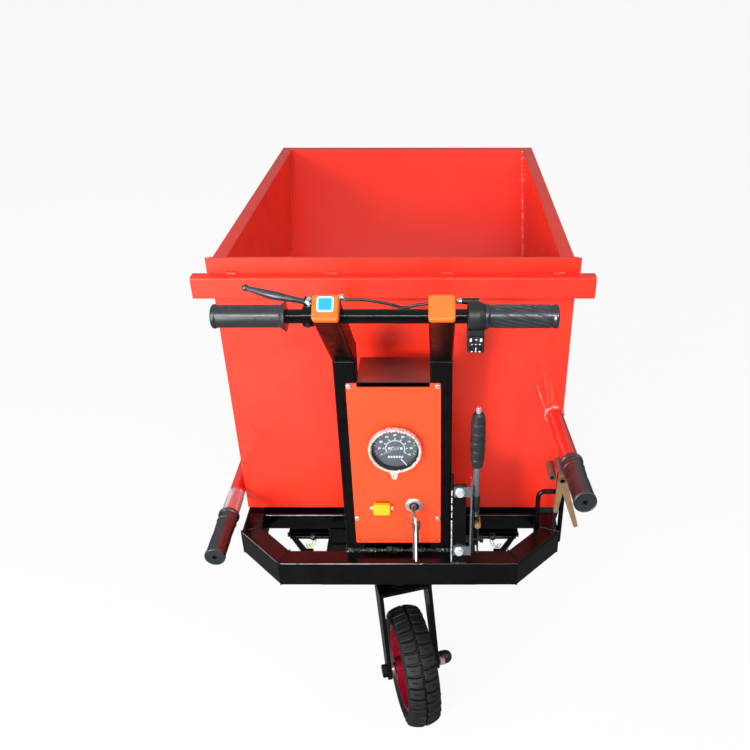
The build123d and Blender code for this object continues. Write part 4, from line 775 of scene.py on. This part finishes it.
plug_end = (-0.086, -0.49253, 1.01953)
label_centre = (plug_end[0], plug_end[1] + 0.003, plug_end[2] + 0.003)
border = patch("label_border", label_centre, 0.025, 0.024, 0.0003, 0.004)
settle(border, "chassis", "socket_amber", fine_grained("printed_pale_blue_vinyl", "#7FD4EC", "#A4E2F2"))
field = patch("label_field", label_centre, 0.019, 0.018, 0.0007, 0.003)
settle(field, "chassis", "socket_amber", fine_grained("printed_blue_vinyl", "#1C8CA4", "#2CA1B8"))


# The gauge's dial: a dark printed card with an open white ring, ticks, numbers, plain signs in the middle,
# a row of counter windows and a few green marks, seen through the lens and a clear protective film.
dial_card = mottled("printed_dial_card", "#4E525C", "#747A86", 9, 4.0, gloss={"Roughness": 0.5})
gauge_z = 0.655
card_face = -0.3442
settle(join("dial_card", [rod((0, -0.3440, gauge_z), (0, card_face, gauge_z), 0.0418, 64)]),
       "chassis", "plastic_black", dial_card)


def washer(centre_y, centre_z, inner, outer, centre_x=0.0, sides=64):
    """A flat ring that faces the operator."""
    deselect()
    bpy.ops.mesh.primitive_circle_add(vertices=sides, radius=inner, location=(centre_x, centre_y, centre_z),
                                      rotation=(math.pi / 2, 0, 0))
    made = bpy.context.object
    open_mesh()
    bpy.ops.mesh.extrude_edges_move()
    bpy.ops.transform.resize(value=(outer / inner,) * 3, center_override=(centre_x, centre_y, centre_z))
    bpy.ops.mesh.select_all(action="SELECT")
    bpy.ops.mesh.normals_make_consistent(inside=False)
    bpy.ops.object.mode_set(mode="OBJECT")
    fix_place()
    modify(made, "SOLIDIFY", thickness=0.0003, offset=0)
    return made


def on_dial(turn, radius):
    """A place on the dial, turned clockwise from the top as the operator sees it."""
    return radius * math.sin(math.radians(turn)), gauge_z + radius * math.cos(math.radians(turn))


def written(text, x, y, z, size):
    """Plain figures that face the operator."""
    deselect()
    bpy.ops.object.text_add(location=(x, y, z), rotation=(math.pi / 2, 0, 0))
    made = bpy.context.object
    made.data.body = text
    made.data.size = size
    made.data.align_x = "CENTER"
    made.data.align_y = "CENTER"
    made.data.extrude = 0.00008
    made.data.offset = 0.0005
    made = solid(made)
    fix_place()
    return made


print_y = card_face - 0.0001
prints = []
ring_steps, ring_half, ring_radius = 40, 118, 0.0178
tick_radius, small_tick_radius, green_radius = 0.0215, 0.0375, 0.0335
number_radius, number_size = 0.0298, 0.0058
for step in range(ring_steps):
    turn = -ring_half + 2 * ring_half * (step + 0.5) / ring_steps
    x, z = on_dial(turn, ring_radius)
    prints.append(mark(x, print_y, z, 0.0020, 0.0018, math.radians(turn)))
scale_from, scale_step, scale_marks = -120, 30, 9
for index in range(scale_marks):
    turn = scale_from + scale_step * index
    x, z = on_dial(turn, tick_radius)
    prints.append(mark(x, print_y, z, 0.0026, 0.0034, math.radians(turn)))
    x, z = on_dial(turn, number_radius)
    prints.append(written(str(10 * index), x, print_y, z, number_size))
    if index < scale_marks - 1:
        for part in (10, 20):
            x, z = on_dial(turn + part, small_tick_radius)
            prints.append(mark(x, print_y, z, 0.0012, 0.0040, math.radians(turn + part)))
for column in range(6):
    prints.append(mark(-0.0125 + 0.005 * column, print_y, gauge_z - 0.0195, 0.0036, 0.0046))
for x in (-0.0112, 0.0112):
    prints.append(mark(x, print_y, gauge_z, 0.0050, 0.0052))
prints.append(washer(print_y, gauge_z, 0.0022, 0.0038, -0.0045, 24))
for lean in (-45, 45):
    prints.append(mark(0.0042, print_y, gauge_z, 0.0014, 0.0070, math.radians(lean)))
settle(join("dial_print", prints), "chassis", "needle_white", white_ink)
green_ink = fine_grained("green_screen_ink", "#2F9A55", "#53C07A")
greens = []
for turn in (74, 82, 98, 106):
    x, z = on_dial(turn, green_radius)
    greens.append(mark(x, print_y, z, 0.0016, 0.0055, math.radians(turn)))
settle(join("dial_green_marks", greens), "chassis", "needle_white", green_ink)


# The gauge's film: thin clear polyethylene drawn over the bezel and gathered below it.
# Where it is crumpled it turns milky and throws sharp white glints.
def clear_film(tree, fold, milk, crease, colour, dullness, shine):
    """Clear film that is milky and creased where it is folded."""
    milky = add(tree, "ShaderNodeMapRange", {0: fold.outputs[0], **dict(enumerate(milk, 1))})
    bent = add(tree, "ShaderNodeBump",
               {"Strength": crease[0], "Distance": crease[1], "Height": fold.outputs[0]})
    clear = add(tree, "ShaderNodeBsdfTransparent")
    skin = add(tree, "ShaderNodeBsdfPrincipled", {
        "Base Color": linear(colour), "Roughness": dullness, "Normal": bent.outputs[0],
        "Specular IOR Level": shine,
    })
    sheer = add(tree, "ShaderNodeMixShader", {0: milky.outputs[0], 1: clear.outputs[0], 2: skin.outputs[0]})
    add(tree, "ShaderNodeOutputMaterial", {"Surface": sheer.outputs[0]})


def hoop(place, turn, radius, thick, sides, thick_sides):
    """A ring of round wire."""
    deselect()
    bpy.ops.mesh.primitive_torus_add(major_radius=radius, minor_radius=thick, major_segments=sides,
                                     minor_segments=thick_sides, location=place, rotation=turn)
    return bpy.context.object


film_sheet, tree, place = blank_material("crumpled_polyethylene_film")
fold = add(tree, "ShaderNodeTexVoronoi", {"Vector": place, "Scale": per_mm(7)}, feature="DISTANCE_TO_EDGE")
clear_film(tree, fold, (0.0, 0.35, 0.75, 0.30), (0.8, 0.002), "#FFDDD6", 0.22, 0.8)
to_operator = (math.pi / 2, 0, 0)
film_ring = hoop((0, -0.3500, gauge_z), to_operator, 0.0470, 0.0034, 96, 12)
film_ring.scale = (1, 1, 2.0)
fix_place()
roughen(film_ring, 0.0006, 7)
deselect()
bpy.ops.mesh.primitive_cone_add(vertices=14, radius1=0.0030, radius2=0.0105, depth=0.020,
                                location=(-0.003, -0.3475, gauge_z - 0.0587),
                                rotation=(math.radians(-6), 0, 0))
film_tail = bpy.context.object
film_tail.scale = (1, 0.35, 1)
fix_place()
modify(film_tail, "SUBSURF", subdivision_type="SIMPLE", levels=2, render_levels=2)
roughen(film_tail, 0.0011, 3)
film = join("gauge_film", [film_ring, film_tail])
bpy.ops.object.shade_smooth_by_angle(angle=math.radians(60))
settle(film, "chassis", "clear", film_sheet)
# A thin white line of ink along one crease paints a glint on the film.
film_glint_line = rod((0.0105, -0.3506, gauge_z - 0.020), (0.0215, -0.3506, gauge_z - 0.0345), 0.0007, 8)
settle(join("film_crease_glint", [film_glint_line]), "chassis", "clear", white_ink)


# The console panel's small parts: the socket's flap with a painted shadow along its top edge and pale ear
# screws, the lock's dark face, two black discs that paint the shade in two empty holes low on the panel, the
# key's moulded head, and the white strap on the key ring.
panel_face = -0.342
socket_x, socket_z = -0.030, 0.510
ear_screws = [ball((socket_x + side * 0.0195, panel_face - 0.003, socket_z), 0.0042, (1, 0.55, 1))
              for side in (-1, 1)]
settle(join("socket_screws", ear_screws), "chassis", "zinc", bright_zinc)
# A black bar above the flap paints its shadow, and two black discs paint the shade in the panel's empty
# holes.
flap_shadow_bar = mark(socket_x + 0.001, panel_face - 0.0012, socket_z + 0.0147, 0.027, 0.0022)
hole_shade_discs = [rod((side * 0.077, panel_face + 0.0002, 0.4248), (side * 0.077, panel_face - 0.0002, 0.4248), 0.0022)
         for side in (-1, 1)]
settle(join("panel_painted_shadows", [flap_shadow_bar] + hole_shade_discs), "chassis", "plastic_black", black_nylon)
settle(join("key_lock_face", [washer(-0.3461, 0.516, 0.0056, 0.0098, 0.033, 32)]), "chassis", "plastic_black",
       black_nylon)
head = block((0.033, -0.3635, 0.5205), (0.0076, 0.0240, 0.0110))
modify(head, "BEVEL", width=0.0022, segments=3)
bpy.ops.object.shade_smooth_by_angle(angle=math.radians(40))
brown_abs = fine_grained("moulded_brown_abs", "#4A3A33", "#7E6C62")
settle(join("key_head", [head]), "key", "plastic_black", brown_abs)
strap_top, strap_end = Vector((0.0362, -0.3735, 0.5100)), Vector((0.0362, -0.3765, 0.3998))
strap = block((0, 0, 0), (0.0036, 0.0017, (strap_end - strap_top).length))
strap.name = "key_strap"
lean = (strap_top - strap_end).to_track_quat("Z", "Y").to_matrix().to_4x4()
strap.matrix_world = Matrix.Translation((strap_top + strap_end) / 2) @ lean
settle(strap, "key_ring", "needle_white", white_ink)
modify(strap, "BEVEL", width=0.0006, segments=2)


# The handbrake's lever: a plated stem in a dark steel yoke, which stands astride the pivot pin,
# with a collar round the stem, a brass cable nut in the yoke, and dark rings in the moulded grip's grooves
# that paint their shade.
pivot_y, pivot_z, lever_x = -0.364, 0.448, 0.153
stem = rod((lever_x, pivot_y, pivot_z + 0.062), (lever_x, pivot_y, pivot_z + 0.296), 0.0065)
stem.data.materials.append(rolled_steel)
yoke_z, yoke_height = pivot_z + 0.029, 0.110
yoke_sides = []
for side in (-1, 1):
    cheek = block((lever_x + side * 0.005, pivot_y, yoke_z), (0.003, 0.026, yoke_height))
    modify(cheek, "BEVEL", width=0.004, segments=3, limit_method="ANGLE")
    cheek.data.materials.append(oiled_steel)
    yoke_sides.append(cheek)
web = block((lever_x, pivot_y + 0.0115, yoke_z), (0.013, 0.003, yoke_height))
web.data.materials.append(oiled_steel)
lever = join("handbrake_arm", [stem] + yoke_sides + [web])
settle(lever, "handbrake", "zinc")
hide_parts("handbrake_lever")
collar = rod((lever_x, pivot_y, pivot_z + 0.076), (lever_x, pivot_y, pivot_z + 0.112), 0.0078)
settle(join("handbrake_collar", [collar]), "handbrake", "steel_dark", oiled_steel)
brass = mottled("turned_brass", "#B98B45", "#E3C382", 3, 3.0, gloss={"Metallic": 0.8, "Roughness": 0.35})
nut = rod((lever_x + 0.004, pivot_y + 0.009, 0.494), (lever_x + 0.004, -0.3795, 0.494), 0.0062)
bore = rod((lever_x + 0.004, -0.3790, 0.494), (lever_x + 0.004, -0.3802, 0.494), 0.0022)
settle(join("handbrake_cable_nut", [nut, bore]), "handbrake", "yellow_zinc", brass)
# Dark rings laid in the grip's grooves paint the shade in them.
groove_shade_rings = []
for step in range(1, 6):
    swell = 0.0012 * math.sin(math.pi * step / 6)
    groove_shade_rings.append(hoop((lever_x, pivot_y, 0.630 + 0.0197 * step), (0, 0, 0), 0.0117 + swell, 0.0010, 32, 8))
    bpy.ops.object.shade_smooth()
settle(join("handbrake_grip_groove_shade", groove_shade_rings), "handbrake", "rubber_black", black_nylon)


# The throttle grip's ribs: low ridges moulded in one with the twist grip.
# They run along it on a slant.
ribs = []
rib_count, rib_points, rib_slant = 16, 7, math.radians(70)
rib_start, rib_length = 0.166, 0.084
for index in range(rib_count):
    line = []
    for point in range(rib_points):
        share = point / (rib_points - 1)
        angle = 2 * math.pi * index / rib_count + rib_slant * share
        line.append((rib_start + rib_length * share, bar.y + grip_radius * math.cos(angle),
                     bar.z + grip_radius * math.sin(angle)))
    ribs.append(solid(spline("rib", line, 0.0009)))
settle(join("throttle_grip_ribs", ribs), "throttle", "rubber_black", black_vinyl)


# The castor's tyre: a rubber carcass with two rows of tread blocks, staggered by half a pitch,
# each with a short sipe cut into its top.
def subdivide(cuts):
    """Cuts every face of the piece in hand into smaller ones."""
    open_mesh()
    bpy.ops.mesh.subdivide(number_cuts=cuts)
    bpy.ops.object.mode_set(mode="OBJECT")


turn = math.radians(16)
hub = Vector((0.09 * math.sin(turn), -0.317 - 0.09 * math.cos(turn), 0.125))
tyre_radius, knob_count = 0.125, 32
knob_middle, knob_height, crown, bow = 0.0172, 0.0130, 8.5, 0.0035
carcass_line = [(0.0247, 0.092), (0.0335, 0.098), (0.0345, 0.103), (0.0335, 0.107), (0.0290, 0.1110),
                (0.0150, 0.1162), (0, 0.1180)]
carcass_line += [(-x, radius) for x, radius in reversed(carcass_line[:-1])]
count = len(carcass_line)
mesh = bpy.data.meshes.new("castor_carcass")
mesh.from_pydata([(x, 0, radius) for x, radius in carcass_line],
                 [(i, (i + 1) % count) for i in range(count)], [])
carcass = bpy.data.objects.new("castor_carcass", mesh)
bpy.context.collection.objects.link(carcass)
deselect()
carcass.select_set(True)
bpy.context.view_layer.objects.active = carcass
open_mesh()
bpy.ops.mesh.spin(steps=96, angle=2 * math.pi, center=(0, 0, 0), axis=(1, 0, 0))
bpy.ops.mesh.select_all(action="SELECT")
bpy.ops.mesh.remove_doubles(threshold=0.0001)
bpy.ops.mesh.delete_loose()
bpy.ops.mesh.select_all(action="SELECT")
bpy.ops.mesh.normals_make_consistent(inside=False)
bpy.ops.object.mode_set(mode="OBJECT")
bpy.ops.object.shade_smooth_by_angle(angle=math.radians(40))
blocks = []
for side in (-1, 1):
    knob = block((0, 0, 0), (0.0300, 0.0192, knob_height))
    subdivide(5)
    modify(knob, "BEVEL", width=0.0022, segments=2, limit_method="ANGLE", angle_limit=math.radians(40))
    bpy.ops.mesh.primitive_cube_add(size=1, location=(side * 0.001, 0.0015, knob_height / 2),
                                    scale=(0.0110, 0.0024, 0.0060))
    sipe = bpy.context.object
    modify(knob, "BOOLEAN", object=sipe, operation="DIFFERENCE")
    bpy.data.objects.remove(sipe)
    for vertex in knob.data.vertices:
        reach = abs(side * knob_middle + vertex.co.x)
        vertex.co.z -= crown * reach ** 2
        vertex.co.y += bow * ((reach - knob_middle) / knob_middle) ** 2
    for index in range(knob_count):
        copy = knob.copy()
        copy.data = knob.data.copy()
        bpy.context.collection.objects.link(copy)
        around = Matrix.Rotation(2 * math.pi * (index + (side + 1) / 4) / knob_count, 4, "X")
        lean = Matrix.Rotation(side * math.radians(5), 4, "Z")
        out = Matrix.Translation((side * knob_middle, 0, tyre_radius - knob_height / 2))
        copy.matrix_world = around @ out @ lean
        blocks.append(copy)
    bpy.data.objects.remove(knob)
castor_tread = join("castor_tread", [carcass] + blocks)
castor_tread.data.transform(Matrix.Translation(hub) @ Matrix.Rotation(turn, 4, "Z"))
settle(castor_tread, "castor_wheel", "tyre_grey", tyre_rubber)
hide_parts("castor_tyre")


# The castor axle's small parts: turned bright spacers between the hub and the fork,
# and a moulded black cap pushed on the long end.
def on_axle(x):
    """A point on the castor's axle, from the middle of the wheel."""
    return hub + Vector((x * math.cos(turn), x * math.sin(turn), 0))


spacers = [rod(on_axle(side * 0.0385), on_axle(side * 0.0478), 0.0134) for side in (-1, 1)]
settle(join("castor_spacers", spacers), "castor", "zinc", bright_zinc)
cap = rod(on_axle(0.062), on_axle(0.074), 0.0145)
dome = ball(on_axle(0.074), 0.0142)
settle(join("castor_axle_cap", [cap, dome]), "castor", "plastic_black", black_nylon)
# The cap is split on the operator's side and shows the copper-washed nut inside.
split = Vector((0, -0.0075, 0.0010))
nut = rod(on_axle(0.0600) + split, on_axle(0.0715) + split, 0.0106, 6)
copper_wash = fine_grained("copper_washed_nut", "#A24B4C", "#F0C9C4")
settle(join("castor_axle_nut", [nut]), "castor", "zinc", copper_wash)


# The brake rod's small parts: a rubber clip on each end of the rod, and a pair of thin yellow-green wires
# that hang from each clip and turn forward to the axle.
rod_y, rod_z, clip_x = -0.182, 0.287, 0.2046
clips = [ball((side * clip_x, rod_y, rod_z), 0.0085, (1.1, 1, 1)) for side in (-1, 1)]
settle(join("rod_clips", clips), "chassis", "rubber_black", black_vinyl)
wire_pvc = fine_grained("yellow_green_pvc", "#9AA82A", "#CDD35A")
wire_radius = 0.0011
wire_line = [(-0.204, -0.1905, 0.284), (-0.207, -0.193, 0.276), (-0.215, -0.192, 0.264),
             (-0.222, -0.186, 0.257), (-0.226, -0.170, 0.254)]
for side in (-1, 1):
    for number, shift in enumerate((0, 0.006)):
        line = [(-side * (x + shift), y, z) for x, y, z in wire_line]
        wire = spline("axle_wire_%s%d" % ("left" if side < 0 else "right", number), line, wire_radius)
        wire.data.materials.append(wire_pvc)
        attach(wire, "chassis")


# The bumper's edge highlights: fine bright lines of plated steel laid along three upper edges
# paint the highlights on the rounded edges.
edge_highlight_z = 0.3941
edge_highlight_lines = (
    ((-0.236, -0.3780), (-0.150, -0.3780), (-0.050, -0.3780), (0.050, -0.3780)),
    ((-0.292, -0.2320), (-0.240, -0.2320), (-0.180, -0.2320), (-0.125, -0.2320)),
    ((-0.3322, -0.2864), (-0.300, -0.3173), (-0.270, -0.3473), (-0.240, -0.3773)),
)
edge_highlight_pieces = []
for line in edge_highlight_lines:
    edge_highlight_pieces.append(solid(spline("edge_highlight", [(x, y, edge_highlight_z) for x, y in line], 0.0012, (0.7, 1.0, 1.0, 0.6))))
settle(join("painted_edge_highlights", edge_highlight_pieces), "chassis", "zinc", rolled_steel)


# The lifting handles' small parts: a thick red weld round the right tube where it leaves the rear panel, with
# painted glints, black discs in the ends of both tubes that paint the shade inside them, rings on the grips,
# a pink line in the panel beside the right tube that paints the tube's reflection, and a sleeve of clear film
# left on the left tube above its grip.
# The root weld's pink blotches paint its glints.
root = hoop((0.314, -0.2185, 0.648), to_operator, 0.0172, 0.0034, 40, 10)
roughen(root, 0.0008, 5)
bpy.ops.object.shade_smooth()
settle(join("handle_root_weld", [root]), "bucket", "bucket_red", glint_blotched_enamel)
left_x, left_z = -0.348, 0.454
right_root, right_way = Vector((0.314, -0.218, 0.648)), Vector((0.0435, -0.9970, 0.0645))
# The black discs in the tube ends paint the shade inside the hollow tubes.
tube_end_shade_discs = [rod((left_x, -0.412, left_z), (left_x, -0.408, left_z), 0.0132),
         rod(right_root + 0.287 * right_way, right_root + 0.283 * right_way, 0.0132)]
settle(join("handle_tube_end_shade", tube_end_shade_discs), "bucket", "plastic_black", black_nylon)
grip_end = 0.2965
rings = []
left_way = Vector((0, -1, 0))
for middle, way, radius, thick in (
        (Vector((left_x, -0.324, left_z)), left_way, 0.0190, 0.0012),
        (Vector((left_x, -0.4206, left_z)), left_way, 0.0187, 0.0014),
        (right_root + 0.201 * right_way, right_way, 0.0190, 0.0012),
        (right_root + grip_end * right_way, right_way, 0.0187, 0.0014)):
    rings.append(hoop(middle, way.to_track_quat("Z", "Y").to_euler(), radius, thick, 40, 10))
    bpy.ops.object.shade_smooth()
settle(join("bucket_grip_rings", rings), "bucket", "rubber_black", black_vinyl)
# A low raised line beside the right tube, in the pink-blotched enamel, paints the tube's reflection in the
# glossy panel.
panel_y = -0.2183
tube_reflection_points = [(0.2746, panel_y, 0.7197), (0.2798, panel_y, 0.7011), (0.2941, panel_y, 0.6657),
        (0.2970, panel_y, 0.6537)]
crease = solid(spline("crease", tube_reflection_points, 0.0016, (0.5, 1, 0.9, 0.6)))
settle(join("panel_tube_reflection", [crease]), "bucket", "bucket_red", glint_blotched_enamel)
deselect()
bpy.ops.mesh.primitive_cylinder_add(vertices=28, radius=0.0172, depth=0.066, rotation=to_operator,
                                    location=(left_x, -0.266, left_z), end_fill_type="NOTHING")
sleeve = bpy.context.object
fix_place()
subdivide(5)
roughen(sleeve, 0.0006, 11)
modify(sleeve, "SOLIDIFY", thickness=0.0002, offset=1)
bpy.ops.object.shade_smooth_by_angle(angle=math.radians(60))
wrap_film, tree, place = blank_material("stretched_polyethylene_wrap")
pulled = add(tree, "ShaderNodeMapping", {"Vector": place, "Scale": (per_mm(12), per_mm(140), per_mm(12))})
fold = add(tree, "ShaderNodeTexNoise", {"Vector": pulled.outputs[0], "Scale": 1.0, "Detail": 3.0})
clear_film(tree, fold, (0.45, 0.70, 0.10, 0.70), (0.6, 0.001), "#E9EEF0", 0.15, 1.0)
settle(join("handle_film", [sleeve]), "bucket", "clear", wrap_film)


# The latch bolt's nut: a hexagon nut on the end of the bolt that the fork swings on.
# Its plate is thin and dull.
nut = rod((0.330, -0.2868, 0.536), (0.330, -0.2925, 0.536), 0.0066, 6)
settle(join("latch_bolt_nut", [nut]), "bucket", "zinc", rolled_steel)
